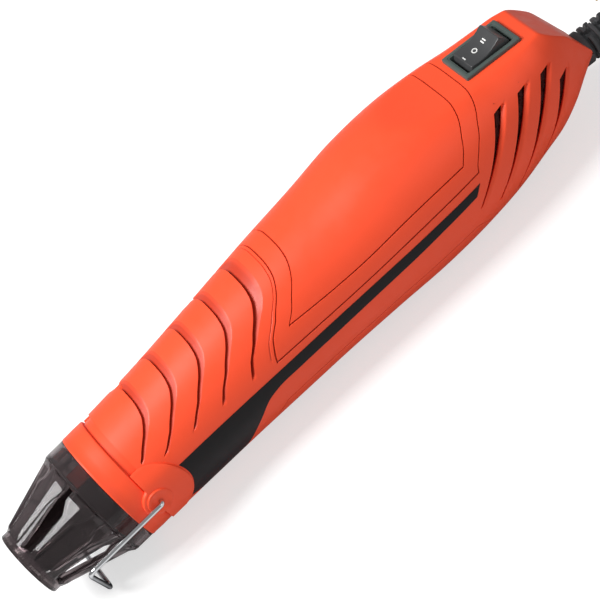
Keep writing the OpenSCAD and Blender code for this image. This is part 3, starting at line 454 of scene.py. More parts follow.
class Tree:
    """Node tree of one material, with short ways to add what the finishes share."""

    def __init__(self, name: str) -> None:
        """Starts a material with a surface shader and object coordinates."""
        self.material = bpy.data.materials.new(name)
        self.material.use_nodes = True
        self.nodes = self.material.node_tree.nodes
        self.links = self.material.node_tree.links
        self.shader = self.nodes["Principled BSDF"]
        self.place = self.nodes.new("ShaderNodeTexCoord").outputs["Object"]

    def set(self, **values: object) -> None:
        """Sets sockets of the surface shader, with underscores for the spaces in their names."""
        for key, value in values.items():
            self.shader.inputs[key.replace("_", " ")].default_value = value

    def stretch(self, scale: Triple) -> Socket:
        """Object coordinates stretched by scale.

        Args:
            scale: Factor along each axis.

        Returns:
            The socket with the stretched place.
        """
        node = self.nodes.new("ShaderNodeMapping")
        node.inputs["Scale"].default_value = scale
        self.links.new(self.place, node.inputs["Vector"])
        return node.outputs["Vector"]

    def noise(self, scale: float, detail: float = 3.0, place: Socket | None = None) -> Socket:
        """Noise of a given scale per metre.

        Args:
            scale: Cells per metre.
            detail: Octaves.
            place: Socket with the place, or None for plain object coordinates.

        Returns:
            The socket with the noise, from 0 to 1.
        """
        node = self.nodes.new("ShaderNodeTexNoise")
        node.inputs["Scale"].default_value = scale
        node.inputs["Detail"].default_value = detail
        self.links.new(place or self.place, node.inputs["Vector"])
        return node.outputs["Fac"]

    def ranged(
        self, value: Socket, low: float, high: float, start: float = 0.3, stop: float = 0.7
    ) -> Socket:
        """Carries a value from one range to another.

        Args:
            value: Socket with the value.
            low: Result at start.
            high: Result at stop.
            start: Value at which the result is low.
            stop: Value at which the result is high.

        Returns:
            The socket with the result, held at both ends.
        """
        node = self.nodes.new("ShaderNodeMapRange")
        for key, number in (("From Min", start), ("From Max", stop), ("To Min", low), ("To Max", high)):
            node.inputs[key].default_value = number
        self.links.new(value, node.inputs["Value"])
        return node.outputs["Result"]

    def blend(self, factor: Socket, a: object, b: object) -> Socket:
        """Mixes two colours.

        Args:
            factor: Socket with the share of b.
            a: First colour, as three numbers or a socket.
            b: Second colour, likewise.

        Returns:
            The socket with the mixed colour.
        """
        node = self.nodes.new("ShaderNodeMix")
        node.data_type = "RGBA"
        self.links.new(factor, node.inputs["Factor"])
        for socket, colour in ((node.inputs[6], a), (node.inputs[7], b)):
            if isinstance(colour, Socket):
                self.links.new(colour, socket)
            else:
                socket.default_value = (*colour, 1.0)
        return node.outputs[2]

    def bump(self, height: Socket, strength: float, depth: float) -> Socket:
        """Bump from a height.

        Args:
            height: Socket with the height.
            strength: Strength of the bump.
            depth: Depth in millimetres.

        Returns:
            The socket with the normal.
        """
        node = self.nodes.new("ShaderNodeBump")
        node.inputs["Strength"].default_value = strength
        node.inputs["Distance"].default_value = depth * MM
        self.links.new(height, node.inputs["Height"])
        return node.outputs["Normal"]

    def along(self, axis: str) -> Socket:
        """One coordinate of the place, X, Y or Z, in metres."""
        node = self.nodes.new("ShaderNodeSeparateXYZ")
        self.links.new(self.place, node.inputs["Vector"])
        return node.outputs[axis]

    def stored(self, name: str) -> Socket:
        """A value that the mesh keeps at each point."""
        node = self.nodes.new("ShaderNodeAttribute")
        node.attribute_name = name
        return node.outputs["Fac"]

    def link(self, socket: Socket, name: str) -> None:
        """Links a socket to an input of the surface shader."""
        self.links.new(socket, self.shader.inputs[name])


def shade(colour: Triple, factor: float) -> Triple:
    """A colour made darker or lighter by a factor."""
    return tuple(min(1.0, c * factor) for c in colour)


@dataclass(frozen=True)
class Finish:
    """A plain finish: a colour that varies a little, a fine grain and uneven gloss."""

    name: str
    colour: Triple
    roughness: float = 0.4
    metallic: float = 0.0
    mottle: float = 0.06
    mottle_scale: float = 60.0
    grain: float = 1600.0
    bump: float = 0.15
    depth: float = 0.05
    stretch: Triple = (1.0, 1.0, 1.0)

    def tree(self) -> Tree:
        """Builds the node tree.

        Returns:
            The tree: colour from coarse noise, roughness from middle noise, bump from fine noise.
        """
        tree = Tree(self.name)
        place = tree.stretch(self.stretch)
        coarse = tree.ranged(tree.noise(self.mottle_scale, 4.0, place), 0.0, 1.0)
        tree.link(
            tree.blend(coarse, shade(self.colour, 1 - self.mottle), shade(self.colour, 1 + self.mottle)),
            "Base Color",
        )
        middle = tree.noise(self.mottle_scale * 4.0, 3.0, place)
        tree.link(tree.ranged(middle, self.roughness * 0.85, self.roughness * 1.15), "Roughness")
        tree.link(tree.bump(tree.noise(self.grain, 2.0, place), self.bump, self.depth), "Normal")
        tree.set(Metallic=self.metallic)
        return tree

    def build(self) -> Material:
        """The finished material."""
        return self.tree().material


@dataclass(frozen=True)
class MouldedShell(Finish):
    """Satin moulded plastic, darkened in its grooves and panel lines by painted shade."""

    # Painted shade: the dark red that grooves and panel lines are coloured with, where the moulding is only
    # in shade.
    painted_shade: Triple = (0.17, 0.008, 0.005)
    specular: float = 0.3

    def build(self) -> Material:
        """Builds the material: mottled colour that goes over to the painted shade's dark red by the mesh's
        tone.

        Returns:
            The material.
        """
        tree = self.tree()
        coarse = tree.ranged(tree.noise(25.0, 3.0), 0.0, 1.0)
        base = tree.blend(coarse, shade(self.colour, 0.97), shade(self.colour, 1.03))
        # Painted shade: the mesh's tone blends the colour towards dark red in the grooves and panel lines.
        tree.link(tree.blend(tree.stored("tone"), base, self.painted_shade), "Base Color")
        tree.set(Specular_IOR_Level=self.specular)
        return tree.material


@dataclass(frozen=True)
class SmokedPlastic(Finish):
    """Clear plastic tinted to a dark smoke."""

    clear: float = 0.9
    bend: float = 1.3
    specular: float = 0.9

    def build(self) -> Material:
        """Builds the material: tinted transmission under a glossy surface.

        Returns:
            The material.
        """
        tree = self.tree()
        tree.set(Transmission_Weight=self.clear, IOR=self.bend, Specular_IOR_Level=self.specular)
        return tree.material


@dataclass(frozen=True)
class BrightPlating(Finish):
    """Mirror plating whose reflection is tinted near black at grazing angles: painted dark edges on round
    wire.
    """

    # Painted dark reflection: near-black tint of the reflection where the surface turns away.
    edge: Quad = (0.03, 0.03, 0.035, 1.0)

    def build(self) -> Material:
        """Builds the material: bright metal with a painted dark tint at grazing angles.

        Returns:
            The material.
        """
        tree = self.tree()
        tree.set(Specular_Tint=self.edge)
        return tree.material


@dataclass(frozen=True)
class SteelDarkInward(Finish):
    """Steel, bright at the mouth and near-black brown further in."""

    mouth: float = -0.1155
    fade: float = 0.002
    dark_inward: Triple = (0.018, 0.014, 0.014)

    def build(self) -> Material:
        """Builds the material: its colour comes from the place along X.

        Returns:
            The material.
        """
        tree = self.tree()
        inward = tree.ranged(tree.along("X"), 0.0, 1.0, self.mouth, self.mouth + self.fade)
        tint = tree.blend(tree.ranged(tree.noise(90.0, 4.0), 0.0, 1.0), self.dark_inward, shade(self.dark_inward, 1.8))
        tree.link(tree.blend(inward, self.colour, tint), "Base Color")
        return tree.material


@dataclass(frozen=True)
class LabelFilm(Finish):
    """Near-black film that turns a little greyer down its broad end."""

    low: float = 0.010
    high: float = 0.023
    lighter: float = 3.4
    specular: float = 0.2

    def build(self) -> Material:
        """Builds the material: a soft grey rise by height, under a satin surface.

        Returns:
            The material.
        """
        tree = self.tree()
        rise = tree.ranged(tree.along("Z"), 1.0, 0.0, self.low, self.high)
        tree.link(tree.blend(rise, self.colour, shade(self.colour, self.lighter)), "Base Color")
        tree.set(Specular_IOR_Level=self.specular)
        return tree.material


@dataclass(frozen=True)
class WoundWire(Finish):
    """Wire or turns: fine bands across the surface."""

    bands: float = 130.0

    def build(self) -> Material:
        """Builds the material: the plain finish under a bump of even bands along X.

        Returns:
            The material.
        """
        tree = self.tree()
        bands = tree.nodes.new("ShaderNodeTexWave")
        bands.inputs["Scale"].default_value = self.bands
        tree.links.new(tree.place, bands.inputs["Vector"])
        tree.link(tree.bump(bands.outputs["Fac"], 0.5, 0.15), "Normal")
        return tree.material


ORANGE = (0.97, 0.088, 0.030)


class Finishes:
    """Every finish of the tool, built once."""

    def __init__(self) -> None:
        """Builds the materials."""
        satin = {"roughness": 0.42, "grain": 2600.0, "bump": 0.1, "depth": 0.02}
        metal = {"metallic": 1.0}
        switch = {"grain": 3200.0, "bump": 0.2, "mottle": 0.08}
        dull = {"mottle": 0.12}
        self.shell = MouldedShell("shell_orange", ORANGE, **satin).build()
        self.collar = MouldedShell("collar_orange", shade(ORANGE, 0.99), **satin).build()
        # Painted shade: the inner side of the orange walls is coloured near-black red, for the dark inside
        # seen through the vents.
        self.inside = Finish("painted_shade_inside", (0.05, 0.005, 0.003), 0.6, grain=1500.0, bump=0.1).build()
        self.guard = SmokedPlastic("smoke_guard", (0.21, 0.175, 0.18), 0.04, bump=0.01, depth=0.002).build()
        self.tube = SteelDarkInward("steel_tube", (0.75, 0.73, 0.72), 0.24, grain=2500.0, **metal).build()
        self.chrome = BrightPlating(
            "chrome_wire", (0.80, 0.81, 0.83), 0.07, grain=900.0, bump=0.04, mottle=0.03, **metal
        ).build()
        self.zinc = Finish("zinc_screw", (0.62, 0.62, 0.60), 0.34, grain=3000.0, **metal).build()
        self.mica = Finish(
            "mica", (0.55, 0.40, 0.24), 0.5, mottle=0.22, mottle_scale=300.0, grain=1400.0, bump=0.4
        ).build()
        self.heater = WoundWire("heating_wire", (0.50, 0.47, 0.45), 0.42, **metal).build()
        self.dark = Finish("dark_plastic", (0.030, 0.034, 0.036), 0.46, grain=2200.0, bump=0.25).build()
        self.fan = Finish("fan_plastic", (0.62, 0.60, 0.54), 0.42, grain=2000.0).build()
        self.motor = Finish(
            "motor_steel", (0.48, 0.48, 0.47), 0.33, mottle=0.1, stretch=(0.2, 1.0, 1.0), **metal
        ).build()
        self.copper = WoundWire("copper_winding", (0.56, 0.22, 0.09), 0.35, metallic=0.8).build()
        self.magnet = Finish(
            "magnet_grey", (0.07, 0.07, 0.075), 0.62, grain=3000.0, bump=0.4, mottle=0.2
        ).build()
        self.board = Finish(
            "board_green", (0.02, 0.15, 0.06), 0.38, mottle=0.2, mottle_scale=500.0, bump=0.3
        ).build()
        self.part = Finish("component_blue", (0.03, 0.08, 0.30), 0.35, mottle=0.15).build()
        self.bezel = Finish("switch_grey", (0.075, 0.098, 0.090), 0.42, **switch).build()
        self.rocker = Finish("rocker_grey", (0.052, 0.053, 0.055), 0.40, **switch).build()
        self.mark = Finish("mark_white", (0.80, 0.80, 0.78), 0.5).build()
        self.brass = Finish("contact_brass", (0.74, 0.56, 0.24), 0.3, **metal).build()
        self.label = LabelFilm(
            "label_black", (0.007, 0.006, 0.007), 0.4, grain=1800.0, bump=0.05, mottle=0.1
        ).build()
        self.rubber = Finish(
            "rubber_black", (0.052, 0.053, 0.057), 0.55, grain=1800.0, bump=0.35, **dull
        ).build()
        self.cord = Finish("cord_black", (0.035, 0.036, 0.039), 0.5, grain=1500.0, bump=0.25, **dull).build()


@dataclass
class Housing:
    """The two moulded halves of the housing, with the neck that carries the collar."""

    front: float = -72.25
    tail: float = 117.75
    neck_front: float = -81.8
    neck_r: float = 19.1
    wall: float = 2.0
    rest: float = -23.5
    half_width: Curve = Curve(
        (-72.5, -55, -38, -20, 0, 20, 40, 58, 74, 86, 96, 104, 111, 117.75),
        (20.4, 20.6, 21.1, 21.9, 22.9, 23.9, 24.8, 24.9, 23.6, 21.6, 19.3, 16.6, 12.6, 7.5),
    )
    top: Curve = Curve(
        (-72.5, -55, -38, -20, 0, 20, 40, 58, 74, 86, 96, 104, 111, 117.75),
        (20.1, 21.2, 22.8, 24.5, 26.2, 27.4, 29.2, 28.4, 25.9, 23.5, 22.6, 22.3, 20.6, 14.0),
    )
    bottom: Curve = Curve(
        (-72.5, -55, -38, -20, 0, 20, 40, 58, 74, 86, 96, 104, 111, 117.75),
        (20.6, 20.7, 20.8, 21.1, 21.4, 22.4, 23.8, 23.4, 21.9, 19.6, 17.8, 14.2, 10.8, 8.2),
    )
    widest: Curve = Curve(
        (-72.5, -38, 0, 40, 58, 74, 96, 104, 111, 117.75),
        (0, 0.2, 0.8, 1.3, 1.2, 0.8, 0.2, 0, -0.5, -3),
    )
    square: Curve = Curve((-72.5, -55, 0, 40, 74, 117.75), (2.0, 2.0, 2.15, 2.25, 2.35, 2.4))
    switch_x: float = 91.35
    flat_z: float = 21.0
    flat_slope: float = 8.4
    hump_gap: float = 11.0
    hump_curve: float = 0.003
    edge_blend: Pair = (0.7, 1.2)
    tail_edge: float = 106.55
    tail_bend: float = 112.95
    upper_cut: float = 1.3
    lower_cut: float = 2.9
    ridge: float = 63.0
    groove_at: tuple[float, ...] = (-59.0, -46.9, -34.8, -22.9, -10.9)
    groove_deep: tuple[float, ...] = (1.05, 1.05, 1.05, 1.05, 1.35)
    groove_wide: tuple[float, ...] = (3.1, 3.1, 3.1, 3.2, 4.6)
    groove_end: tuple[float, ...] = (29.0, 17.0, 16.0, 15.0, 14.0)
    groove_pinch: tuple[float, ...] = (1.0, 1.0, 1.0, 1.0, 1.35)
    groove_step: float = 0.12
    groove_fade: float = 3.5
    narrowing: float = 0.48
    outer_lines: Pair = (-1.05, 78.95)
    inner_lines: Pair = (5.2, 72.4)
    ghost_gap: float = 1.15
    outer_turn: float = 12.5
    inner_turn: float = 24.0
    belly_turn: float = -24.0
    calm_x: Pair = (84.0, 22.0)
    outer_dip: Pair = (11.0, 15.0)
    outer_span: Pair = (37.0, 57.0)
    inner_rise: Pair = (22.8, 5.2)
    inner_span: Pair = (30.0, 36.0)
    hook: float = 12.0
    belly_ends: Pair = (-27.0, 56.0)
    line_half: float = 0.27
    line_turn: float = 0.68
    line_deep: float = 0.42
    # Painted shade: how dark the panel lines and the groove ramps are coloured, made stronger lower down the
    # side.
    line_painted_shade: float = 0.9
    line_fade: float = 1.5
    groove_painted_shade: float = 0.55
    band_low: float = 1.3
    ghost_share: float = 0.45
    swept: Curve = Curve(
        (-90, 0, 8, 15, 25, 34, 40, 52, 64, 76, 90),
        (1.1, 1.1, 1.07, 1.0, 0.79, 0.58, 0.47, 0.235, 0.08, 0.015, 0.0),
    )
    front_sweep: float = 17.6
    rear_sweep: float = 14.5
    rear_x: Pair = (12.0, 55.0)
    squeeze: float = 0.83
    fade_end: float = 100.0
    vent_tops: tuple[float, ...] = (16.1, 14.4, 12.4, 5.8)
    vent_feet: tuple[float, ...] = (-3.0, -7.4, -11.4, -10.6)
    vent_start: float = 60.6
    vent_pitch: float = 11.8
    vent_lean: float = 1.16
    vent_wide: float = 3.0
    vent_narrow: float = 1.0
    vent_bow: float = 0.9
    vent_slant: float = 0.7
    vent_cut: Pair = (-4.0, 8.5)
    scoop_deep: float = 1.3
    scoop_long: float = 4.6
    opening: Pair = (9.3, 6.3)
    screws: tuple[Pair, ...] = (
        (-60.25, 15.6), (-60.25, -15.6), (-26.25, 17.8), (-26.25, -17.2), (71.75, -14.6), (106.95, 10.6)
    )
    well_r: float = 2.7
    well_wall: float = 0.9
    shank_r: float = 1.45
    seat_y: float = 3.2
    lobe_r: float = 11.8
    lobe_h: float = 1.0
    lobe_z: Pair = (-11.2, 11.6)
    lobe_front: float = -75.15
    sharp: float = 28.0
    pivot_x: float = -73.8

    def flat(self, x: np.ndarray) -> np.ndarray:
        """Height of the switch's flat and of the two planes that cut the tail.

        Args:
            x: Places along the tool.

        Returns:
            The least of three lines, with soft edges between them. The first curves up to the hump.
        """
        slope = math.tan(math.radians(self.flat_slope))
        before = np.maximum(0.0, self.switch_x - self.hump_gap - x)
        first = self.flat_z - slope * (x - self.switch_x) + self.hump_curve * before**2
        edge = self.flat_z - slope * (self.tail_edge - self.switch_x)
        bend = edge - self.upper_cut * (self.tail_bend - self.tail_edge)
        second = edge - self.upper_cut * (x - self.tail_edge)
        third = bend - self.lower_cut * (x - self.tail_bend)
        return soft_min(soft_min(first, second, self.edge_blend[0]), third, self.edge_blend[1])

    def section(self, x: np.ndarray, turn: np.ndarray, grow: np.ndarray | float = 0.0) -> np.ndarray:
        """Points of the left half of the housing.

        Args:
            x: Places along the tool.
            turn: Angles in degrees above the side, from -90 at the belly to 90 on top.
            grow: How far the points stand out from the form.

        Returns:
            The points: a superellipse of the half width and the height above or below its widest
            line, with the flat above and the resting strip below cut off.
        """
        a = np.radians(turn)
        up = turn > 0
        power = 2.0 / np.where(up, self.square(x), 2.0)
        z0 = self.widest(x)
        w = self.half_width(x) + grow
        h = np.where(up, self.top(x) + grow - z0, self.bottom(x) + grow + z0)
        y = -w * np.abs(np.cos(a)) ** power
        z = z0 + h * np.sign(a) * np.abs(np.sin(a)) ** power
        z = np.maximum(soft_min(z, self.flat(x) + grow, 0.8), self.rest)
        return np.stack([x + 0.0 * z, np.where(np.abs(turn) > 89.99, 0.0, y), z], axis=-1)

    def turn_of(self, x: np.ndarray, z: np.ndarray) -> np.ndarray:
        """Angle in degrees above the side at which the form at x has the height z."""
        z0 = self.widest(x)
        up = z > z0
        h = np.where(up, self.top(x) - z0, self.bottom(x) + z0)
        share = np.clip(np.abs(z - z0) / h, 0.0, 1.0)
        return np.sign(z - z0) * np.degrees(np.arcsin(share ** (np.where(up, self.square(x), 2.0) / 2.0)))

    @staticmethod
    def about_line(half: float) -> np.ndarray:
        """Steps across a thin line whose half width is half, and a little past it."""
        return np.array([-1.6, -1.0, -0.45, 0.0, 0.45, 1.0, 1.6]) * half

    def rows(self) -> np.ndarray:
        """Places of the grid's rows on top of the tool: close at each moulded edge, wide elsewhere."""
        parts = [steps(self.front, self.groove_at[0], 1.1)]
        ends = list(self.groove_at[1:]) + [self.outer_lines[0] - self.ghost_gap - 0.3]
        step = self.groove_step
        for at, wide, end in zip(self.groove_at, self.groove_wide, ends):
            parts += [[at, at + step], at + step + steps(0.0, wide - step, 0.6)[1:]]
            parts += [at + wide + np.array([0.0, step]), steps(at + wide + 0.5, end, 1.1)]
        ghost = self.outer_lines[0] - self.ghost_gap
        (first, last), (start, stop) = self.outer_lines, self.inner_lines
        parts += [at + self.about_line(self.line_half) for at in (ghost, first, start, stop, last)]
        spans = ((first + 0.8, start - 0.8, 1.1), (start + 0.8, stop - 0.8, 1.15),
                 (stop + 0.8, last - 0.6, 0.5), (last + 0.6, self.fade_end, 0.27),
                 (self.fade_end, self.tail, 0.42))
        parts += [steps(*span) for span in spans]
        return np.unique(np.round(np.concatenate([*parts, [self.tail]]), 3))

    def columns(self) -> np.ndarray:
        """Angles of the grid's columns: close at each line and at the ridge, wide under the belly."""
        belly, outer, inner, ridge = self.belly_turn, self.outer_turn, self.inner_turn, self.ridge
        parts = [at + self.about_line(self.line_turn) for at in (belly, outer, inner)]
        spans = ((-90, -46, 3.4), (-46, belly - 1.3, 1.5), (belly + 1.4, outer - 1.3, 1.1),
                 (outer + 1.4, inner - 1.2, 1.2), (inner + 1.4, ridge - 3, 1.2),
                 (ridge - 3, ridge + 3, 0.6), (ridge + 3, 90, 2.2))
        parts += [steps(*span) for span in spans]
        return np.unique(np.round(np.concatenate([*parts, [90.0]]), 3))

    def shifted(self, u: np.ndarray, turn: np.ndarray) -> np.ndarray:
        """Place of a row that starts at u on top, at an angle: it runs forward as it goes down.

        Args:
            u: Place of the row on top.
            turn: Angle above the side.

        Returns:
            The place, held back where the housing starts and straight again at the tail. The
            groove's ramp narrows towards its lower end before the row is moved, so no row crosses
            the next.
        """
        rear = ease((u - self.rear_x[0]) / self.rear_x[1])
        share = self.swept(turn)
        shift = mix(self.front_sweep * share, self.rear_sweep * share**1.3, rear)
        fade_start = self.outer_lines[1] + 0.5
        shift = shift * (1.0 - ease((u - fade_start) / (self.fade_end - fade_start)))
        d = np.zeros_like(shift)
        narrow = 1.0 - self.narrowing * ease((62.0 - turn) / 40.0)
        for at, wide, much in zip(self.groove_at, self.groove_wide, self.groove_pinch):
            inside = np.clip((u - at) / wide, 0.0, 1.0)
            after = np.clip((u - at - wide) / (1.2 * wide), 0.0, 1.0)
            pinch = 1.0 - (1.0 - narrow) * much
            d = d + (pinch - 1.0) * wide * np.where(u > at + wide, 1.0 - after, inside) * (u > at)
        v = u + d
        return v - np.minimum((v - self.front) * self.squeeze, shift)

    def angle_at(self, x: np.ndarray, turn: np.ndarray) -> np.ndarray:
        """True angle of a column at x, so that columns follow the panel lines and the ridge.

        Args:
            x: Places along the tool.
            turn: Angles of the columns.

        Returns:
            The angle, from straight runs between the lines' own angles at x.
        """
        z0 = self.widest(x)
        share = np.clip((self.flat(x) - z0) / (self.top(x) - z0), 0.0, 1.0)
        ridge = np.minimum(self.ridge, np.degrees(np.arcsin(share ** (self.square(x) / 2.0))))
        calm = 1.0 - ease((x - self.calm_x[0]) / self.calm_x[1])
        dip = mix(*self.outer_dip, ((x - self.outer_span[0]) / self.outer_span[1]) ** 2)
        low = np.minimum(self.outer_turn + (dip - self.outer_turn) * calm, ridge * 0.4)
        ahead = np.clip((self.inner_span[0] - x) / self.inner_span[1], 0.0, 1.2)
        rise = self.inner_rise[0] + self.inner_rise[1] * ahead**2
        high = np.minimum(self.inner_turn + (rise - self.inner_turn) * calm, ridge * 0.6)
        first, last = self.belly_ends
        hooks = ease((first + 3.0 - x) / 7.0), ease((x - last + 3.5) / 8.0)
        belly = self.belly_turn - (self.hook * hooks[0] + self.hook * hooks[1])
        knots = (-90.0, self.belly_turn, 0.0, self.outer_turn, self.inner_turn, self.ridge, 90.0)
        values = (-90.0 + 0 * x, belly, 0 * x, low, high, ridge, 90.0 + 0 * x)
        out = np.zeros_like(x)
        for k in range(len(knots) - 1):
            inside = (turn >= knots[k]) & (turn <= knots[k + 1])
            t = (turn - knots[k]) / (knots[k + 1] - knots[k])
            out = np.where(inside, mix(values[k], values[k + 1], t), out)
        return out

    def vent_edges(self, k: int, z: np.ndarray) -> tuple[np.ndarray, np.ndarray]:
        """Front and rear edge of a vent's slot at the height z.

        Args:
            k: Number of the vent, from the front.
            z: Heights.

        Returns:
            Two places along the tool. The slot leans forward as it goes down, and narrows.
        """
        t = np.clip((self.vent_tops[k] - z) / (self.vent_tops[k] - self.vent_feet[k]), 0.0, 1.0)
        bow = self.vent_bow * np.sin(math.pi * t)
        x = self.vent_start + self.vent_pitch * k + self.vent_lean * z + bow
        return x, x + mix(self.vent_wide, self.vent_narrow, t**0.8)

    def snap(self, x: np.ndarray, turn: np.ndarray) -> np.ndarray:
        """Moves grid points that lie close to the top of a vent onto its height.

        Args:
            x: Places along the tool.
            turn: Angles above the side.

        Returns:
            The new angles.
        """
        z = self.section(x, turn)[..., 2]
        near, before, behind = 0.24, 0.4, self.scoop_long + 1.0
        for k, top in enumerate(self.vent_tops):
            start = self.vent_edges(k, z)[0]
            above = (np.abs(z - top) < near) & (x > start - before) & (x < start + behind)
            turn = np.where(above, self.turn_of(x, np.full_like(x, top)), turn)
        return turn

    def cutters(self, side: Side) -> Patch:
        """Closed forms that cut the vents, and the screw wells of the right half, along Y.

        Args:
            side: The half that is cut.

        Returns:
            The patch, placed for the left half. The slots slant back on their way in.
        """
        patch = Patch()
        for k, (top, foot) in enumerate(zip(self.vent_tops, self.vent_feet)):
            z = np.linspace(foot, top, 26)
            start, stop = self.vent_edges(k, z)
            middle = (start + stop) / 2
            y = self.section(middle, self.turn_of(middle, z))[:, 1]
            outer, inner = self.vent_cut
            corners = ((start, outer), (stop, outer), (stop, inner), (start, inner))
            loops = np.stack(
                [np.stack([x + self.vent_slant * d, y + d, z], axis=-1) for x, d in corners], axis=1
            )
            patch.add(grid(loops, wrap=True)).add(cap(loops[0], flip=True)).add(cap(loops[-1]))
        near, far = 4.0, 30.0
        for at, height in self.screws if side is Side.RIGHT else ():
            drill = revolve([(near, 0.0), (near, self.well_r), (far, self.well_r), (far, 0.0)], 48)
            patch.add(drill.turned(X_TO_LEFT).moved((at, 0.0, height)))
        return patch

    def grooves(self, u: np.ndarray, column: np.ndarray) -> tuple[np.ndarray, np.ndarray]:
        """Saw-toothed grip grooves.

        Args:
            u: Place of each row on top.
            column: Angle of each column.

        Returns:
            Their depth, and their share of painted shade, which darkens each ramp in colour.
        """
        depth, tone = np.zeros_like(u), np.zeros_like(u)
        step = self.groove_step
        share = mix(self.band_low, 1.0, ease((column - 20.0) / 45.0))
        for at, deep, wide, end in zip(self.groove_at, self.groove_deep, self.groove_wide, self.groove_end):
            t = (u - at - step) / (wide - step)
            inside = (u > at + step / 2) & (t <= 1.001)
            reach = ease((column - end) / self.groove_fade)
            depth = depth + deep * np.where(inside, 1.0 - t, 0.0) * reach
            # Painted shade on each ramp: darkest by its wall, and stronger lower down the side.
            band = self.groove_painted_shade * share * inside
            tone = np.maximum(tone, band * np.clip((1.0 - t) * 3.0, 0.55, 1.0) * reach)
        return depth, tone

    def panel_lines(self, u: np.ndarray, column: np.ndarray, x: np.ndarray) -> np.ndarray:
        """Thin lines round the panels and along the belly, and the faint one before them.

        Args:
            u: Place of each row on top.
            column: Angle of each column.
            x: Place of each point.

        Returns:
            Share of the lines' full depth.
        """
        turns = np.array([self.outer_turn, self.inner_turn, self.belly_turn])
        along = 1.0 - np.minimum(1.0, np.abs(column[..., None] - turns) / self.line_turn)

        def across(at: float, low: float) -> np.ndarray:
            """Depth share of a line across the tool, above the angle low."""
            return np.clip(1.0 - np.abs(u - at) / self.line_half, 0.0, 1.0) * (column > low - 0.35)

        def between(ends: Pair) -> np.ndarray:
            """Whether a row lies between two lines across the tool."""
            return (u > ends[0] - 0.1) & (u < ends[1] + 0.1)

        first, last = self.belly_ends
        belly = ease((x - first + 5.0) / self.line_fade) * ease((last + 6.5 - x) / self.line_fade)
        return np.maximum.reduce([
            *(across(at, self.outer_turn) for at in self.outer_lines),
            *(across(at, self.inner_turn) for at in self.inner_lines),
            along[..., 0] * between(self.outer_lines),
            along[..., 1] * between(self.inner_lines),
            along[..., 2] * belly,
            self.ghost_share * across(self.outer_lines[0] - self.ghost_gap, self.outer_turn + 4.0),
        ])

    def scoops(self, x: np.ndarray, z: np.ndarray) -> np.ndarray:
        """Depth of the scoops behind the vents, at the places x and heights z."""
        depth = np.zeros_like(x)
        for k, (top, foot) in enumerate(zip(self.vent_tops, self.vent_feet)):
            start, stop = self.vent_edges(k, z)
            fade = 1.0 - 0.65 * np.clip((top - z) / (top - foot), 0.0, 1.0)
            back = (x - stop) / ((self.scoop_long - self.vent_wide) * fade + 1.2)
            face = np.clip(1.0 - np.maximum(back, 0.0), 0.0, 1.0) * (x > (start + stop) / 2)
            depth = depth + self.scoop_deep * fade * face * (z < top - 0.05) * ease((z - foot) / 1.2)
        return depth

    def skin(self) -> tuple[Patch, np.ndarray]:
        """Outer skin of the left half, with the opening for the switch.

        Returns:
            The patch, which runs from the front to the tail and is closed there, and its tone: the
            share of painted shade at each point, in the grooves and panel lines.
        """
        u, column = np.meshgrid(self.rows(), self.columns(), indexing="ij")
        x = self.shifted(u, column)
        turn = self.snap(x, self.angle_at(x, column))
        plain = self.section(x, turn)
        depth, tone = self.grooves(u, column)
        lines = self.panel_lines(u, column, x)
        depth = depth + self.line_deep * lines + self.scoops(x, plain[..., 2])
        # Painted shade: the thin panel lines are darkened in colour as well as sunk.
        tone = np.maximum(tone, self.line_painted_shade * lines)
        points = self.section(x, turn, -depth)
        centre = (plain[:-1, :-1] + plain[1:, :-1] + plain[:-1, 1:] + plain[1:, 1:]) / 4.0
        along = (centre[..., 0] - self.switch_x) / math.cos(math.radians(self.flat_slope))
        keep = np.abs(along) > self.opening[0]
        keep |= (np.abs(centre[..., 1]) > self.opening[1]) | (centre[..., 2] < 10.0)
        patch = grid(points, keep=keep)
        rim = points[-1]
        patch.add(grid(np.stack([rim, rim * np.array([1.0, 0.0, 1.0])])))
        return patch.flipped(), np.concatenate([tone.ravel(), np.zeros(len(patch.points) - tone.size)])

    def lobe(self) -> Patch:
        """Raised plate that covers the pivot, as a closed plate.

        Returns:
            The patch: rows of like height run from the collar to a circle round the pivot. The
            surface rises by the lobe's height, with a rounded rim, and less near its upper end.
        """
        low, high = self.lobe_z
        z = np.linspace(low, high, 56)[:, None]
        edge, sunk, foot = 0.5, 0.6, 0.45
        t = np.concatenate([np.linspace(0.0, 0.9, 16), [0.94, 0.965, 0.982, 0.994, 1.0]])[None, :]
        end = self.pivot_x + np.sqrt(self.lobe_r**2 - z**2)
        x = self.lobe_front + (end - self.lobe_front) * t
        z = z + 0.0 * t
        turn = self.turn_of(x, z)
        inset = (end - x) / edge
        ends = np.minimum(np.abs(z - high), np.abs(z - low)) / edge
        round_off = np.sqrt(1.0 - (1.0 - np.clip(np.minimum(inset, ends), 0.0, 1.0)) ** 2)
        calm = mix(0.3, 1.0, ease((high - z) / 6.0))
        top = self.section(x, turn, self.lobe_h * (foot + (1.0 - foot) * round_off) * calm)
        return plate(top, self.section(x, turn, -sunk))

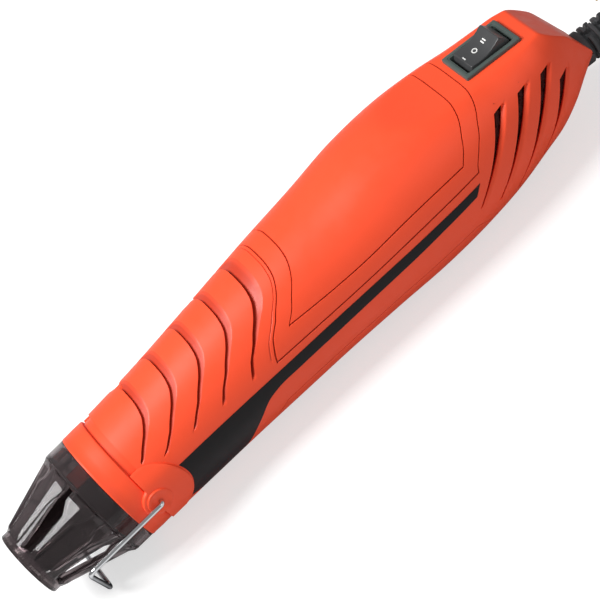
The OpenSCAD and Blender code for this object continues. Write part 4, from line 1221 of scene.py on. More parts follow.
    def wells(self) -> Patch:
        """Tubes behind the screw holes of the right half, each down to its screw's seat.

        Returns:
            The patch. The outer end of each tube follows the inside of the skin.
        """
        patch = Patch()
        outer, base = self.well_r + self.well_wall, self.seat_y - 1.4
        rim_depth, skin_depth = 0.6, 0.9
        for at, height in self.screws:
            place = np.array([at])
            rim = self.section(place, self.turn_of(place, np.array([height + self.well_r])))
            end = -float(rim[0, 1]) - rim_depth
            profile = [(self.seat_y, self.shank_r), (self.seat_y, self.well_r), (end, self.well_r),
                       (end, outer), (base, outer), (base, self.shank_r), (self.seat_y, self.shank_r)]
            tube = revolve(profile, 32).turned(X_TO_RIGHT).moved((at, 0.0, height))
            x, y, z = tube.points.T
            skin = -self.section(x, self.turn_of(x, z))[:, 1] - skin_depth
            tube.points[:, 1] = np.where(y > end - 0.01, np.minimum(y, skin), y)
            patch.add(tube)
        return patch

    def neck(self) -> Patch:
        """Tube in front of the halves, which the collar sits on."""
        front, end = self.neck_front, self.front + 1.5
        out, inside = self.neck_r, self.neck_r - self.wall
        profile = [(front, inside), (front, out - 0.3), (front + 0.3, out), (end, out), (end, inside),
                   (front, inside)]
        return revolve(profile, 160)

    def build(self, finishes: Finishes) -> None:
        """Builds the two halves, the neck, the lobes and the screw wells.

        Args:
            finishes: The tool's finishes.
        """
        body, slot, shell = "housing", "shell_orange", finishes.shell
        skin, tone = self.skin()
        left = make_piece("left_half", skin, body, shell, self.sharp, tone=tone)
        right = make_piece("right_half", skin.mirrored(), body, shell, self.sharp, tone=tone)
        for half, node in ((left, "left_shell"), (right, "right_shell")):
            # The wall's inner side gets the near-black red of painted shade, not the orange of the plastic.
            solidify(half, self.wall, finishes.inside)
            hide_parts(node)
        cut(left, self.cutters(Side.LEFT), self.sharp)
        cut(right, self.cutters(Side.RIGHT).mirrored(), self.sharp)
        make_piece("neck", self.neck(), body, shell)
        lobe = self.lobe()
        make_piece("left_lobe", lobe, body, shell, 50)
        make_piece("right_lobe", lobe.mirrored(), body, shell, 50)
        make_piece("screw_wells", self.wells(), body, shell)


@dataclass
class Collar:
    """Orange collar that holds the guard, and the ring round each pivot bush."""

    front: float = -83.55
    length: float = 8.2
    radius: float = 20.2
    inside: float = 19.12
    pivot_x: float = -73.8
    bush_r: float = 4.3
    boss_y: Pair = (18.2, 21.62)
    pad_r: float = 5.6
    pad_rise: Pair = (0.75, 0.38)

    def profile(self) -> list[Pair]:
        """Section of the collar: a band with a small bead at the front and a rounded rear edge."""
        f, r, end = self.front, self.radius, self.front + self.length
        wide, deep, rear = 0.25, 0.35, 0.45
        bead = [(f + wide * (1 - math.cos(t)), r - deep + deep * math.sin(t)) for t in quarter(5)]
        back = [(end - rear + rear * math.sin(t), r - rear + rear * math.cos(t)) for t in quarter(5)]
        lands = [(f + 0.9, r), (f + 1.0, r - 0.05), (f + 4.0, r + 0.04), (end - 1.4, r)]
        return [(f, self.inside), *bead, *lands, *back, (end, self.inside), (f, self.inside)]

    def boss_ring(self) -> Patch:
        """Raised ring round the left pivot, about a line along Y.

        Returns:
            The patch: a flat washer with rounded edges and a sunk middle that the wire turns in.
        """
        (foot, out), r, edge, hole = self.boss_y, self.bush_r, 0.35, 1.2
        first = (foot, r + 0.1)
        profile = [first, (out - edge, r + 0.1)]
        profile += [(out - edge + edge * math.sin(t), r - 0.25 + edge * math.cos(t)) for t in quarter(6)]
        profile += [(out, r - 1.0), (out - 0.08, r - 1.15), (out - 0.08, hole + 0.3), (out - 0.5, hole)]
        profile += [(foot, hole), first]
        return revolve(profile, 72).turned(X_TO_LEFT).moved((self.pivot_x, 0.0, 0.0))

    def pad(self) -> Patch:
        """Low round pad that bridges the collar and the neck under the left boss.

        Returns:
            The patch: a disc whose outer face lies a little above the collar's radius.
        """
        a = circle(72)[None, :]
        hole, edge = 3.9, 0.45
        r = np.array([hole, *(self.pad_r - np.array([edge, 0.22, 0.08, 0.0]))])[:, None]
        x = self.pivot_x + r * np.cos(a)
        z = r * np.sin(a)
        inward = np.clip((self.pad_r - r) / edge, 0.0, 1.0)
        lift = self.pad_rise[0] + self.pad_rise[1] * np.sqrt(1.0 - (1.0 - inward) ** 2)
        top = np.stack([x, -np.sqrt((self.radius + lift) ** 2 - z**2), z], axis=-1)
        low = np.stack([x, -np.sqrt((self.inside - 0.2) ** 2 - z**2), z], axis=-1)
        return grid(np.concatenate([top, low[::-1], top[:1]]), wrap=True).flipped()

    def build(self, finishes: Finishes) -> None:
        """Builds the collar, the pads and the boss rings.

        Args:
            finishes: The tool's finishes.
        """
        body, slot, orange = "housing", "collar_orange", finishes.collar
        collar = make_piece("collar", revolve(self.profile(), 220), body, orange, 30)
        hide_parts("front_collar")
        for side in Side:
            for name, patch in (("ring", self.boss_ring()), ("pad", self.pad())):
                patch = patch.mirrored() if side is Side.RIGHT else patch
                make_piece(f"{side.value}_boss_{name}", patch, body, orange, 40)


class Strip(Enum):
    """What lies between two columns of the guard's skin."""

    GAP = "gap"
    RIB = "rib"
    WINDOW = "window"


@dataclass
class Guard:
    """Smoked guard: a many-sided cone with raised ribs and long windows between them."""

    nose: float = -117.75
    ring: float = 3.0
    ring_in: float = 0.35
    cone_end: float = -90.15
    end: float = -83.6
    front_r: float = 12.2
    band_r: float = 20.05
    wall: float = 1.4
    first_rib: float = 45.0
    rib_turn: float = 36.0
    sides: int = 10
    rise: float = 0.55
    heads: Pair = (5.0, 3.6)
    rib_slow: Pair = (1.0, 2.1)
    flare: Pair = (-98.6, 5.6)
    rib_edge: float = 0.28
    window_x: Pair = (-114.0, -90.55)
    window_turn: Pair = (57.8, 63.0)
    window_half: Pair = (1.75, 2.55)
    lug: Pair = (24.0, 8.5)

    def radius(self, x: np.ndarray, angle: np.ndarray) -> np.ndarray:
        """Radius of the plain wall.

        Args:
            x: Places along the tool.
            angle: Angles in degrees above the side.

        Returns:
            A straight taper from the front ring to the band, drawn in between the corners of the
            many-sided cone, and round at both ends.
        """
        t = np.clip((x - self.nose - self.ring) / (self.cone_end - self.nose - self.ring), 0.0, 1.0)
        front = self.front_r - self.ring_in
        r = mix(self.front_r, self.band_r - self.ring_in, t)
        half = 180.0 / self.sides
        from_corner = np.mod(angle - self.first_rib, 2 * half) - half
        flat = math.cos(math.radians(half)) / np.cos(np.radians(from_corner))
        amount = ease(t * 8.0) * ease((1.0 - t) * 9.0)
        r = r * mix(1.0, mix(1.0, flat, 0.8), amount)
        r = np.where(x < self.nose + self.ring - 0.1, front, r)
        edge, deep = 0.3, 0.25
        r = np.where(x < self.nose + edge, front - deep * (1.0 - (x - self.nose) / edge), r)
        return np.where(x > self.cone_end - 0.05, self.band_r, r)

    def rib_half(self, x: np.ndarray, wide: float) -> np.ndarray:
        """Half width of a rib in millimetres: it widens slowly, then flares into its head.

        Args:
            x: Places along the tool.
            wide: Half width of the head.

        Returns:
            The half width.
        """
        slow = mix(*self.rib_slow, np.clip((x + 112.0) / 14.0, 0.0, 1.0))
        return mix(slow, wide, ease((x - self.flare[0]) / self.flare[1]) ** 0.8)

    def rows(self) -> np.ndarray:
        """Places of the grid's rows."""
        nose, front, rear = self.nose, self.cone_end, self.end
        fine, coarse = -99.0, -92.4
        return np.concatenate([
            np.array([0.0, 0.1, 0.3]) + nose,
            steps(nose + 0.8, nose + 2.86, 0.7), nose + np.array([2.86, 2.9, 3.0]),
            steps(nose + 3.4, fine, 0.8), steps(fine, coarse, 0.3), steps(coarse, front - 0.5, 0.5),
            [front - 0.45, front - 0.1, front, front + 0.1],
            steps(front + 0.7, rear, 0.9), [rear],
        ])

    def layout(self, x: np.ndarray) -> tuple[np.ndarray, np.ndarray]:
        """Columns of the grid, which follow the edges of the ribs and windows.

        Args:
            x: Places of the rows, as a column.

        Returns:
            Rows by columns of angles above the side, and the strip after each column.
        """
        columns, kinds = [], []
        start = self.window_x[0]
        window = mix(*self.window_turn, np.clip((x - start) / 20.0, 0.0, 1.0))
        spread = mix(*self.window_half, np.clip((x - start) / 14.0, 0.0, 1.0))
        pinch = mix(1.0, 0.6, ease((x + 95.0) / 4.0))
        for k in range(self.sides):
            centre, nxt = (self.first_rib + i * self.rib_turn for i in (k, k + 1))
            r = self.radius(x, np.full_like(x, centre))
            half, half_next = (np.degrees(self.rib_half(x, self.heads[i % 2]) / r) for i in (k, k + 1))
            edge = np.degrees(self.rib_edge / r)
            after, before = centre + half + edge, nxt - half_next - edge
            columns += [centre - half - edge, *(centre + half * t for t in np.linspace(-1.0, 1.0, 7)), after]
            kinds += [Strip.GAP] + [Strip.RIB] * 7 + [Strip.GAP]
            if k % 2 == 0:
                middle = k * self.rib_turn + window
                reach = np.degrees(spread / r) * pinch
                low = np.maximum(middle - reach, after + 0.3)
                high = np.minimum(middle + reach, before - 0.3)
                columns += [mix(low, high, t) for t in (0.0, 0.25, 0.5, 0.75, 1.0)]
                columns += [mix(high, before, 0.5)]
                kinds += [Strip.WINDOW] * 4 + [Strip.GAP] * 2
            else:
                columns += [mix(after, before, t) for t in (0.2, 0.4, 0.6, 0.8)]
                kinds += [Strip.GAP] * 4
        return np.concatenate([c + 0.0 * x for c in columns], axis=1), np.array(kinds)[None, :]

    def outer(self) -> Patch:
        """Outer skin with its ribs and windows.

        Returns:
            The patch, open at both ends and at the windows.
        """
        x = self.rows()[:, None]
        angle, kinds = self.layout(x)
        place = x + 0.0 * angle
        lifted = ease((place - self.nose - 3.2) / 1.2) * (place < self.cone_end - 0.3)
        r = self.radius(place, angle) + self.rise * (kinds == Strip.RIB) * lifted
        middle = (x[:-1] + x[1:]) / 2
        inside = (middle > self.window_x[0]) & (middle < self.window_x[1])
        points = around(place, r, np.radians(angle)) @ MIRROR
        return grid(points, wrap=True, keep=~((kinds == Strip.WINDOW) & inside)).flipped()

    def lugs(self) -> Patch:
        """Orange lugs of the neck that lock the guard, behind its band.

        Returns:
            The patch: curved plates inside the band, one before each long window.
        """
        patch = Patch()
        after, half = self.lug
        front, inner = self.cone_end, self.band_r - self.wall
        x = np.array([front + 0.6, front + 1.0, self.end - 0.2, self.end + 1.0])[None, :]
        for k in range(0, self.sides, 2):
            centre = self.first_rib + after + k * self.rib_turn
            a = np.radians(np.linspace(centre - half, centre + half, 12))[:, None]
            patch.add(plate(*(around(x, inner - depth, a) @ MIRROR for depth in (0.25, 1.2))))
        return patch

    def build(self, finishes: Finishes) -> None:
        """Builds the guard and the lugs behind its band.

        Args:
            finishes: The tool's finishes.
        """
        guard = make_piece("smoked_guard", self.outer(), "housing", finishes.guard, 24)
        solidify(guard, self.wall)
        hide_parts("nozzle_guard")
        make_piece("neck_lugs", self.lugs(), "housing", finishes.collar)


@dataclass
class Mouth:
    """Bright castellated ring at the mouth of the outlet tube."""

    front: float = -117.3
    radius: float = 10.4
    inner: float = 9.35
    long: float = 3.4
    edge: float = 0.25
    deep: float = 0.9
    notches: int = 10
    sides: int = 240

    def ring(self) -> Patch:
        """The ring, with a shallow notch in its front edge at every step.

        Returns:
            The patch: a thick tube whose front end moves back at each notch.
        """
        a = circle(self.sides)
        notch = self.deep * ease((np.cos(a * self.notches) - 0.45) / 0.12)
        outer, inner, edge, long = self.radius, self.inner, self.edge, self.long
        profile = ((long, inner, 0.0), (edge, inner, 1.0), (0.0, inner + edge, 1.0),
                   (0.0, outer - edge, 1.0), (edge, outer, 1.0), (long, outer, 0.0), (long, inner, 0.0))
        loops = [around(self.front + along + notch * share, r, a) for along, r, share in profile]
        return grid(np.array(loops), wrap=True)

    def build(self, finishes: Finishes) -> None:
        """Builds the ring.

        Args:
            finishes: The tool's finishes.
        """
        make_piece("mouth_ring", self.ring(), "housing", finishes.chrome, 30)


@dataclass
class Label:
    """Bare black strip along the visible side, broad at its front end."""

    lift: float = 0.09
    sunk: float = 0.1
    low: Curve = Curve(
        (-62.25, -55.25, -49.25, -43.25, -39.25, -34.65, -28.95, -25.25, -14.25, -0.25, 15.75, 31.75, 47.75,
         58.75),
        (-13.6, -13.9, -13.8, -13.0, -9.4, -5.6, -1.5, -0.4, 0.2, 0.4, 0.7, 1.0, 1.6, 2.0),
    )
    high: Curve = Curve((-60.0, -40.0, -14.25, 0.0, 20.0, 48.0, 62.0), (4.1, 4.2, 4.4, 4.6, 4.7, 4.9, 4.95))
    start: float = -62.25
    end: float = 58.75
    rim_r: float = 12.2
    rim_turns: Pair = (-58.0, 19.6)
    slant: float = 3.0
    slim: float = -20.0
    rear: float = 44.0

    def surface(self, housing: Housing, grow: float) -> np.ndarray:
        """Grid of points on the housing between the strip's two long edges.

        Args:
            housing: The housing that carries the strip.
            grow: Height above the housing.

        Returns:
            Rows from the lobe's rim to the slanted rear end, each from the lower edge up.
        """
        slim, rear, end = self.slim, self.rear, self.end
        low_x = np.concatenate(
            [steps(self.start, slim, 0.5), steps(slim, rear, 1.2), np.linspace(rear, end, 14)]
        )
        front_lean = 1.0 - ease((low_x - self.start) / 14.0)
        lean = self.slant * front_lean + 1.1 * self.slant * ease((low_x - rear) / (end - rear))
        t = np.linspace(0.0, 1.0, 15)[None, :]
        x = low_x[:, None] + lean[:, None] * t
        z = mix(self.low(low_x)[:, None], self.high(low_x + lean)[:, None], t)
        a = np.radians(mix(*self.rim_turns, t[0]))
        rim = np.stack([housing.pivot_x + self.rim_r * np.cos(a), self.rim_r * np.sin(a)], axis=-1)
        first = np.stack([x[0], z[0]], axis=-1)
        front = np.array([mix(rim, first, s) for s in np.linspace(0.0, 1.0, 9)[:-1]])
        x, z = np.concatenate([front[..., 0], x]), np.concatenate([front[..., 1], z])
        return housing.section(x, housing.turn_of(x, z), grow)

    def build(self, housing: Housing, finishes: Finishes) -> None:
        """Builds the strip.

        Args:
            housing: The housing that carries it.
            finishes: The tool's finishes.
        """
        patch = plate(self.surface(housing, self.lift), self.surface(housing, -self.sunk)).flipped()
        label = make_piece("side_strip", patch, "housing", finishes.label, 40)
        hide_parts("side_label")


@dataclass
class Switch:
    """Three-place rocker switch in its bezel, on the flat of the housing."""

    at: Pair = (91.35, 21.0)
    slope: float = 8.4
    bezel: Pair = (21.0, 15.0)
    bezel_t: float = 1.2
    pocket: Pair = (17.2, 11.2)
    depth: float = 13.0
    drop: float = 1.0
    floor: float = 4.4
    rest_tilt: float = 12.0
    rocker: Pair = (15.8, 10.7)
    crest: float = 2.0
    face: Pair = (3.15, 1.15)
    mark: Pair = (0.08, -0.1)
    bars: tuple[Pair, ...] = ((-5.3, 1.7), (2.2, 1.9), (3.1, 1.9))
    ring_x: float = -1.3
    ring: Triple = (0.55, 0.75, 0.42)

    def placed(self, patch: Patch) -> Patch:
        """A patch made about the middle of the bezel's underside, carried to its place."""
        return patch.turned(tilt(self.slope)).moved((self.at[0], 0.0, self.at[1]))

    def tilted(self, patch: Patch) -> Patch:
        """A patch made about the rocker's pivot, turned to its resting place."""
        return self.placed(patch.turned(tilt(-self.rest_tilt)).moved((0.0, 0.0, -self.drop)))

    @staticmethod
    def box_loop(length: float, width: float, corner: float, height: float) -> np.ndarray:
        """Rectangle with round corners, as a ring of points that turns left seen from above.

        Args:
            length: Size along X.
            width: Size along Y.
            corner: Radius of the corners.
            height: Height of the ring.

        Returns:
            The ring of 40 points.
        """
        points = []
        for k, (sx, sy) in enumerate(((1, 1), (-1, 1), (-1, -1), (1, -1))):
            a = quarter(10) + k * math.pi / 2
            points.append(np.stack([
                sx * (length / 2 - corner) + corner * np.cos(a),
                sy * (width / 2 - corner) + corner * np.sin(a),
                np.full_like(a, height),
            ], axis=-1))
        return np.concatenate(points)

    def bezel_patch(self) -> Patch:
        """The bezel with its pocket and the body under it.

        Returns:
            The patch: rings of rounded rectangles from the pocket's floor up its wall, over the
            rim with its fine step, and down outside to the body's floor.
        """
        (l, w), (pl, pw), t = self.bezel, self.pocket, self.bezel_t
        floor = -self.drop - self.floor
        rings = [
            (pl, pw, 0.4, floor), (pl, pw, 0.4, t - 0.45), (pl + 0.12, pw + 0.12, 0.5, t - 0.25),
            (pl + 0.9, pw + 0.9, 0.6, t - 0.18), (pl + 1.0, pw + 1.0, 0.6, t - 0.03),
            (pl + 1.1, pw + 1.1, 0.6, t), (l - 0.7, w - 0.7, 0.5, t), (l - 0.3, w - 0.3, 0.55, t - 0.08),
            (l - 0.08, w - 0.08, 0.6, t - 0.28), (l, w, 0.6, t - 0.5), (l, w, 0.6, 0.02),
            (l - 2.1, w - 2.1, 0.4, 0.0), (l - 2.1, w - 2.1, 0.4, -self.depth),
        ]
        loops = np.array([self.box_loop(*ring) for ring in rings])
        patch = grid(loops, wrap=True).flipped()
        return patch.add(cap(loops[0])).add(cap(loops[-1], flip=True))

    def rocker_patch(self) -> Patch:
        """The rocker: one outline of the side view, carried across with rounded side edges.

        Returns:
            The patch. The outline's upper edge dips between two crests.
        """
        e, half = self.rocker[0] / 2, self.rocker[1] / 2
        s = np.linspace(-1.0, 1.0, 21)
        x = s * (e - self.crest)
        upper = np.stack([x, self.face_height(x)], axis=-1)
        rear = np.array([[e - 1.8, 4.24], [e + 0.1, 0.9], [e + 0.1, 0.4], [e - 0.6, -1.8], [2.0, -3.2]])
        outline = np.concatenate([upper, rear, rear[::-1] * np.array([-1.0, 1.0])])
        middle = np.array([0.0, 0.6])
        loops = []
        for y, inset in ((-half, 0.42), (-half + 0.07, 0.2), (-half + 0.22, 0.06), (-half + 0.45, 0.0),
                         (half - 0.45, 0.0), (half - 0.22, 0.06), (half - 0.07, 0.2), (half, 0.42)):
            reach = outline - middle
            size = np.linalg.norm(reach, axis=1)[:, None]
            ring = middle + reach * (1.0 - inset / size)
            loops.append(np.stack([ring[:, 0], np.full(len(ring), y), ring[:, 1]], axis=-1))
        loops = np.array(loops)
        patch = grid(loops, wrap=True)
        return patch.add(cap(loops[0], flip=True)).add(cap(loops[-1]))

    def face_height(self, x: np.ndarray) -> np.ndarray:
        """Height of the rocker's upper face at x, above its pivot."""
        low, rise = self.face
        return low + rise * np.abs(x / (self.rocker[0] / 2 - self.crest)) ** 1.8

    def marks(self) -> Patch:
        """The plain marks I, O and II, as thin raised plates on the rocker's upper face.

        Returns:
            The patch: a bar in front, a ring in the middle and two bars at the back.
        """
        patch = Patch()

        def bar(x: float, length: float) -> None:
            """One bar across the rocker, centred at x."""
            across = np.linspace(-length / 2, length / 2, 4)
            gx, gy = np.meshgrid(x + np.array([-0.22, -0.07, 0.07, 0.22]), across, indexing="ij")
            upper, lower = (np.stack([gx, gy, self.face_height(gx) + h], axis=-1) for h in self.mark)
            patch.add(plate(upper, lower).flipped())

        for place, length in self.bars:
            bar(place, length)
        a = circle(40)
        high, low = self.mark
        rings = []
        for size, lift in ((0.0, high), (1.0, high), (1.0, low), (0.0, low), (0.0, high)):
            gx = (self.ring[0] + self.ring[2] * size) * np.cos(a) + self.ring_x
            gy = (self.ring[1] + 0.4 * size) * np.sin(a)
            rings.append(np.stack([gx, gy, self.face_height(gx) + lift], axis=-1))
        return patch.add(grid(np.array(rings), wrap=True).flipped())

    def build(self, finishes: Finishes) -> None:
        """Builds the bezel, the rocker and its marks.

        Args:
            finishes: The tool's finishes.
        """
        placed = self.placed(self.bezel_patch())
        bezel = make_piece("switch_bezel", placed, "housing", finishes.bezel, 30)
        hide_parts("switch_body")
        tilted = self.tilted(self.rocker_patch())
        rocker = make_piece("rocker_cap", tilted, "rocker", finishes.rocker, 30)
        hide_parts("switch_rocker")
        make_piece("rocker_marks", self.tilted(self.marks()), "rocker", finishes.mark)


def smooth_path(points: list[Triple], per: int) -> np.ndarray:
    """A smooth line through chosen points.

    Args:
        points: The points.
        per: Steps between two of them.

    Returns:
        The line: a cubic between points, whose slope at each is half the way between its neighbours.
    """
    p = np.array(points)
    slope = np.gradient(p, axis=0)
    t = np.linspace(0.0, 1.0, per, endpoint=False)[None, :, None]
    line = cubic(t, p[:-1, None], p[1:, None], slope[:-1, None], slope[1:, None])
    return np.concatenate([line.reshape(-1, 3), p[-1:]])


@dataclass
class Boot:
    """Strain relief at the tail: a tapered core with toothed rings."""

    root: Triple = (117.15, 0.0, -6.7)
    droop: float = 8.0
    length: float = 38.0
    inside: float = 12.0
    radius: float = 5.85
    core: float = 4.15
    tip: float = 3.5
    rings: int = 12
    first: float = 2.6
    pitch: float = 2.7
    thick: float = 1.25
    end_r: float = 4.75
    teeth: int = 4
    gap: float = 2.2
    depth: float = 1.5
    flange: float = 1.4

    def along(self) -> np.ndarray:
        """Direction of the boot, towards its tip."""
        return tilt(self.droop)[:, 0]

    def tip_point(self) -> np.ndarray:
        """Middle of the tip, with its height from the surface."""
        return np.array(self.root) + self.along() * self.length + np.array([0.0, 0.0, AXIS_Z])

    def ring(self, at: float, r: float, turn: float) -> Patch:
        """One toothed ring.

        Args:
            at: Its place along the boot.
            r: Its radius.
            turn: Angle in degrees of its first gap.

        Returns:
            The patch: a disc whose rim steps inwards at each gap.
        """
        half, side = 0.5 * self.gap / r, 0.03
        one = np.array([-half - side, -half, -half * 0.5, 0.0, half * 0.5, half, half + side])
        rest = np.linspace(half + side, 2 * math.pi / self.teeth - half - side, 12)[1:-1]
        cell = np.concatenate([one, rest])
        cut = np.concatenate([[0.0, 1.0, 1.0, 1.0, 1.0, 1.0, 0.0], np.zeros(len(rest))])
        turns = 2 * math.pi * np.arange(self.teeth)[:, None] / self.teeth
        a = (cell[None, :] + turns).ravel() + math.radians(turn)
        rim = r - self.depth * np.tile(cut, self.teeth)
        base = np.full_like(rim, self.tip - 0.4)
        thick, edge = self.thick, 0.18
        profile = ((0.0, base), (0.0, rim - edge), (edge, rim), (thick - edge, rim), (thick, rim - edge),
                   (thick, base))
        return grid(np.array([around(at + x, loop, a) for x, loop in profile]), wrap=True)

    def build(self, finishes: Finishes) -> bpy.types.Object:
        """Builds the boot.

        Args:
            finishes: The tool's finishes.

        Returns:
            The boot.
        """
        flange = self.flange
        root = [(-self.inside, 0.0), (-self.inside, self.radius), (flange - 0.25, self.radius),
                (flange, self.radius - 0.25), (flange, self.core)]
        tip = [(self.length - 0.4, self.tip), (self.length, self.tip - 0.35), (self.length, 0.0)]
        patch = revolve(root + tip, 64)
        for i in range(self.rings):
            r = mix(self.radius, self.end_r, i / self.rings)
            patch.add(self.ring(self.first + i * self.pitch, r, 45.0 * (i % 2 + 0.5)))
        placed = patch.turned(tilt(self.droop)).moved(self.root)
        boot = make_piece("boot", placed, "housing", finishes.rubber, 40)
        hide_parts("strain_relief")
        return boot


@dataclass
class Cord:
    """Mains cord: it leaves the boot, sinks to the surface and lies in a tied hank, with its plug."""

    diameter: float = 6.0
    hank_x: float = 219.0
    hank_len: float = 90.0
    inner: float = 12.0
    outer: float = 25.8
    turns: int = 2
    low_z: float = 3.428
    layer_step: float = 6.056
    bend_points: int = 24
    lead: tuple[Triple, ...] = (
        (167.0, -0.8, 9.0), (175.0, -3.6, 7.2), (184.0, -8.6, 5.4),
        (193.0, -14.8, 4.2), (201.0, -20.2, 3.6), (208.5, -24.2, 3.43),
    )
    tail: tuple[Pair, ...] = (
        (209.0, 24.4), (203.0, 21.0), (197.0, 18.0), (192.5, 17.2), (190.5, 17.2), (189.0, 17.2)
    )
    straight: tuple[float, ...] = (0.0, 2.0, 5.0)

    def hank_point(self, bend: int, i: float) -> Triple:
        """Point of a bend of the hank, which spirals in below, rises and spirals out above.

        Args:
            bend: Count of the bend. Every other one is at the far end.
            i: Half turns from the start.

        Returns:
            The point.
        """
        layer = 2 * self.turns
        inward = min(1.0, i / layer)
        outward = max(0.0, (i - layer - 1.0) / layer)
        r = self.outer + (self.inner - self.outer) * (inward - outward)
        a = math.radians(-90.0 + 180.0 * i)
        far = self.hank_len if bend % 2 == 0 else 0.0
        z = self.low_z + self.layer_step * float(ease(np.array(i - layer)))
        return (self.hank_x + far + r * math.cos(a), r * math.sin(a), z)

    def path(self, boot: Boot) -> np.ndarray:
        """Middle line of the whole cord, from the boot's tip to the plug.

        Args:
            boot: The boot that it leaves.

        Returns:
            The points, with heights from the surface.
        """
        tip = boot.tip_point()
        top = self.low_z + self.layer_step
        chosen = [tuple(tip), tuple(tip + boot.along() * self.diameter), *self.lead]
        chosen += [(self.hank_x - x, -self.outer, self.low_z) for x in self.straight[::-1]]
        points = [tuple(p) for p in smooth_path(chosen, 5)]

        def run_to(end: Triple) -> None:
            """Adds points along the straight run that ends before end."""
            last = np.array(points[-1])
            points.extend(tuple(mix(last, np.array(end), t)) for t in (0.2, 0.4, 0.6, 0.8))

        for bend in range(4 * self.turns + 1):
            bent = [self.hank_point(bend, bend + j / self.bend_points) for j in range(self.bend_points + 1)]
            run_to(bent[0])
            points += bent
        run_to((self.hank_x, self.outer, top))
        end = [(self.hank_x - x, self.outer, top) for x in self.straight]
        end += [(x, y, top) for x, y in self.tail]
        return np.array(points + [tuple(p) for p in smooth_path(end, 5)])

    def build(self, boot: Boot, piece: bpy.types.Object, finishes: Finishes) -> None:
        """Builds the cord.

        Args:
            boot: The boot's sizes.
            piece: The boot; not used.
            finishes: The tool's finishes.
        """
        path = self.path(boot)
        tube = sweep_tube(path, self.diameter / 2, 20, (0.0, 0.0, 1.0))
        cord = make_piece("cord", tube, "housing", finishes.cord, 40, Level.SURFACE)
        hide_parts("cord_lead", "cord_coil", "plug_lead")


@dataclass
class Stand:
    """Wire stand, folded forward under the guard."""

    wire_r: float = 0.8
    leg_y: float = 22.9
    pin_y: float = 21.8
    reach: float = 31.0
    foot_half: float = 13.0
    drop: float = 19.6

    def build(self, finishes: Finishes) -> None:
        """Builds the wire: two legs, and a foot bent across below them.

        Args:
            finishes: The tool's finishes.
        """
        pivot = joint_point("stand_swing")
        x, foot = float(pivot[0]), float(pivot[0]) - self.reach
        half = [(x, -self.pin_y, 0.0), (x, -self.leg_y, 0.0), (foot, -self.leg_y, 0.0),
                (foot, -self.foot_half, -self.drop)]
        points = np.array(half + [(a, -b, c) for a, b, c in half[::-1]])
        bends = (0.0, 1.08, 2.6, 4.0, 4.0, 2.6, 1.08, 0.0)
        tube = sweep_tube(rounded_path(points, bends, 12), self.wire_r, 24, (1.0, 0.0, 0.0))
        wire = make_piece("wire_stand", tube, "stand", finishes.chrome, 60)
        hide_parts("stand_wire")


def dress_nodes(finishes: Finishes) -> None:
    """Gives every piece that keeps its packed form a finish.

    Args:
        finishes: The tool's finishes.
    """
    f = finishes
    dressed = {
        f.zinc: ("shell_screws", "thermal_cutout", "motor_screws", "clamp_screws", "motor_shaft"),
        f.tube: ("outlet_tube",),
        f.mica: ("tube_washer", "mica_sleeve", "heater_former"),
        f.heater: ("heating_coil",),
        f.dark: ("air_guide", "fan_duct", "motor_end_cap", "cord_clamp"),
        f.fan: ("fan_impeller",),
        f.copper: ("motor_armature",),
        f.magnet: ("motor_magnets",),
        f.motor: ("motor_can",),
        f.board: ("circuit_board",),
        f.part: ("board_parts",),
        f.bezel: ("switch_body",),
        f.rocker: ("switch_rocker",),
        f.brass: ("switch_terminals", "plug_pins"),
        f.chrome: ("stand_pins", "stand_wire"),
        f.shell: ("left_shell", "right_shell"),
        f.collar: ("stand_bushes", "front_collar"),
        f.guard: ("nozzle_guard",),
        f.label: ("side_label",),
        f.cord: ("inner_cord", "cord_lead", "cord_coil", "plug_lead"),
        f.rubber: ("plug_body", "coil_tie", "strain_relief"),
    }
    for material, names in dressed.items():
        for name in names:
            node = frame["nodes"][name]
            if not node.material_slots:
                node.data.materials.append(material)
            for place in node.material_slots:
                place.material = material
    log.info("finishes on %d packed pieces", sum(len(names) for names in dressed.values()))


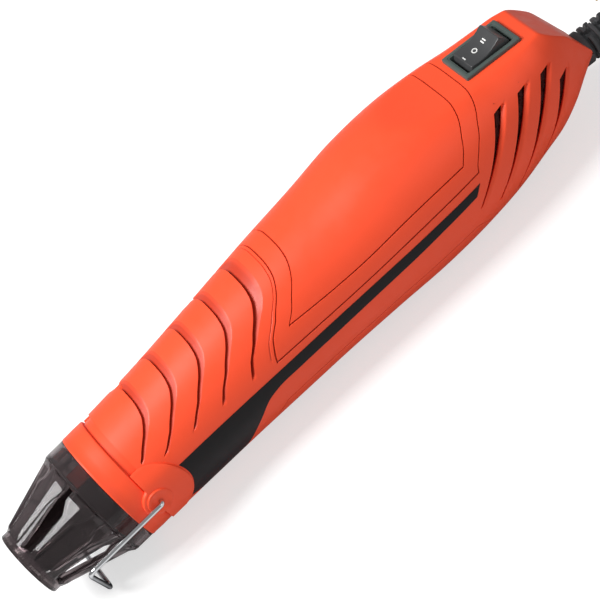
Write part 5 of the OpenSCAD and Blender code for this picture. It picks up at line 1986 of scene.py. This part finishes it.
@dataclass
class Studio:
    """Camera of the photograph, soft lamps, white surroundings and a pale floor."""

    azimuth: float = -2.2
    elevation: float = 41.6
    distance: float = 755.0
    lens: float = 146.28
    sensor: float = 36.0
    roll: float = 42.75
    aim: Pair = (-5.05, -0.163)
    aim_x: float = 4.2
    world_level: float = 0.27
    lamps: tuple[tuple[str, Triple, float, float], ...] = (
        ("key", (-0.6, 0.1, 1.0), 0.55, 18.0), ("fill", (0.5, -1.0, 0.7), 0.9, 2.0)
    )
    floor_z: float = -0.2
    floor_reach: float = 6.0
    floor_tones: Pair = (0.55, 0.46)
    floor_glow: float = 0.62

    def axes(self) -> tuple[Vector, Vector, Vector]:
        """Directions to the right, up and back, as seen by the level camera."""
        a, e = math.radians(self.azimuth), math.radians(self.elevation)
        back = Vector((math.cos(e) * math.sin(a), -math.cos(e) * math.cos(a), math.sin(e)))
        right = Vector((math.cos(a), math.sin(a), 0.0))
        return right, back.cross(right), back

    def camera(self) -> None:
        """Makes the camera, turned about its line of sight so that the tool stands aslant."""
        right, up, back = self.axes()
        aim = Vector((self.aim_x, 0.0, AXIS_Z)) + right * self.aim[0] + up * self.aim[1]
        place = (aim + back * self.distance) * MM
        a = math.radians(self.roll)
        across = right * math.cos(a) - up * math.sin(a)
        along = right * math.sin(a) + up * math.cos(a)
        data = bpy.data.cameras.new("camera")
        data.lens, data.sensor_width = self.lens, self.sensor
        data.clip_start, data.clip_end = 0.01, 20.0
        camera = bpy.data.objects.new("camera", data)
        turn = Matrix((across, along, back)).transposed().to_4x4()
        camera.matrix_world = Matrix.Translation(place) @ turn
        bpy.context.scene.collection.objects.link(camera)
        bpy.context.scene.camera = camera

    def lamp(self, name: str, place: Triple, size: float, power: float) -> None:
        """A square soft lamp that faces the tool.

        Args:
            name: Its name.
            place: Its place in metres.
            size: Side of the square in metres.
            power: Its power in watts.
        """
        data = bpy.data.lights.new(name, "AREA")
        data.shape, data.size, data.energy = "SQUARE", size, power
        lamp = bpy.data.objects.new(name, data)
        toward = Vector((0.0, 0.0, AXIS_Z * MM)) - Vector(place)
        lamp.matrix_world = Matrix.Translation(place) @ toward.to_track_quat("-Z", "Y").to_matrix().to_4x4()
        bpy.context.scene.collection.objects.link(lamp)

    @staticmethod
    def seen(nodes: bpy.types.Nodes, links: bpy.types.NodeLinks) -> Socket:
        """Whether a ray comes from the camera, straight or by way of clear plastic.

        Args:
            nodes: Nodes of a tree.
            links: Links of the tree.

        Returns:
            The socket with 1 for such a ray and 0 for any other.
        """
        path = nodes.new("ShaderNodeLightPath")
        either = nodes.new("ShaderNodeMath")
        either.operation = "MAXIMUM"
        links.new(path.outputs["Is Camera Ray"], either.inputs[0])
        links.new(path.outputs["Is Transmission Ray"], either.inputs[1])
        return either.outputs[0]

    def surroundings(self) -> None:
        """White world for the rays that are seen, and a weaker one that lights the tool."""
        world = bpy.data.worlds.new("surroundings")
        bpy.context.scene.world = world
        world.use_nodes = True
        nodes, links = world.node_tree.nodes, world.node_tree.links
        span = nodes.new("ShaderNodeMapRange")
        span.inputs["To Min"].default_value = self.world_level
        span.inputs["To Max"].default_value = 1.0
        links.new(self.seen(nodes, links), span.inputs["Value"])
        background = nodes["Background"]
        background.inputs["Color"].default_value = (1.0, 1.0, 1.0, 1.0)
        links.new(span.outputs["Result"], background.inputs["Strength"])

    def floor(self) -> None:
        """Pale floor that shows white where it is lit and keeps the tool's shadow."""
        mesh = bpy.data.meshes.new("floor")
        reach = self.floor_reach
        corners = [(-reach, -reach), (reach, -reach), (reach, reach), (-reach, reach)]
        mesh.from_pydata([(x, y, self.floor_z * MM) for x, y in corners], [], [(0, 1, 2, 3)])
        tree = Tree("floor_paper")
        seen = self.seen(tree.nodes, tree.links)
        paper = tree.ranged(tree.noise(400.0), 0.97, 1.0)
        tree.link(tree.ranged(paper, 0.85, 0.9, 0.97, 1.0), "Roughness")
        lighting, shown = ((tone, tone, tone) for tone in self.floor_tones)
        tree.link(tree.blend(seen, lighting, shown), "Base Color")
        tree.set(Emission_Color=(1.0, 1.0, 1.0, 1.0), Specular_IOR_Level=0.0)
        tree.link(tree.ranged(seen, 0.0, self.floor_glow, 0.0, 1.0), "Emission Strength")
        mesh.materials.append(tree.material)
        floor = bpy.data.objects.new("floor", mesh)
        bpy.context.scene.collection.objects.link(floor)

    def build(self) -> None:
        """Lights the tool and lays the floor."""
        self.surroundings()
        for lamp in self.lamps:
            self.lamp(*lamp)
        self.floor()


def main() -> None:
    """Builds the scene and reports each piece."""
    logging.basicConfig(level=logging.INFO, format="%(name)s: %(message)s")
    bpy.context.scene.view_settings.view_transform = "Standard"
    studio = Studio()
    studio.camera()
    finishes = Finishes()
    boot = Boot()
    Cord().build(boot, boot.build(finishes), finishes)
    housing = Housing()
    housing.build(finishes)
    for part in (Collar(), Guard(), Mouth(), Switch(), Stand()):
        part.build(finishes)
    Label().build(housing, finishes)
    dress_nodes(finishes)
    studio.build()


if __name__ == "__main__":
    main()
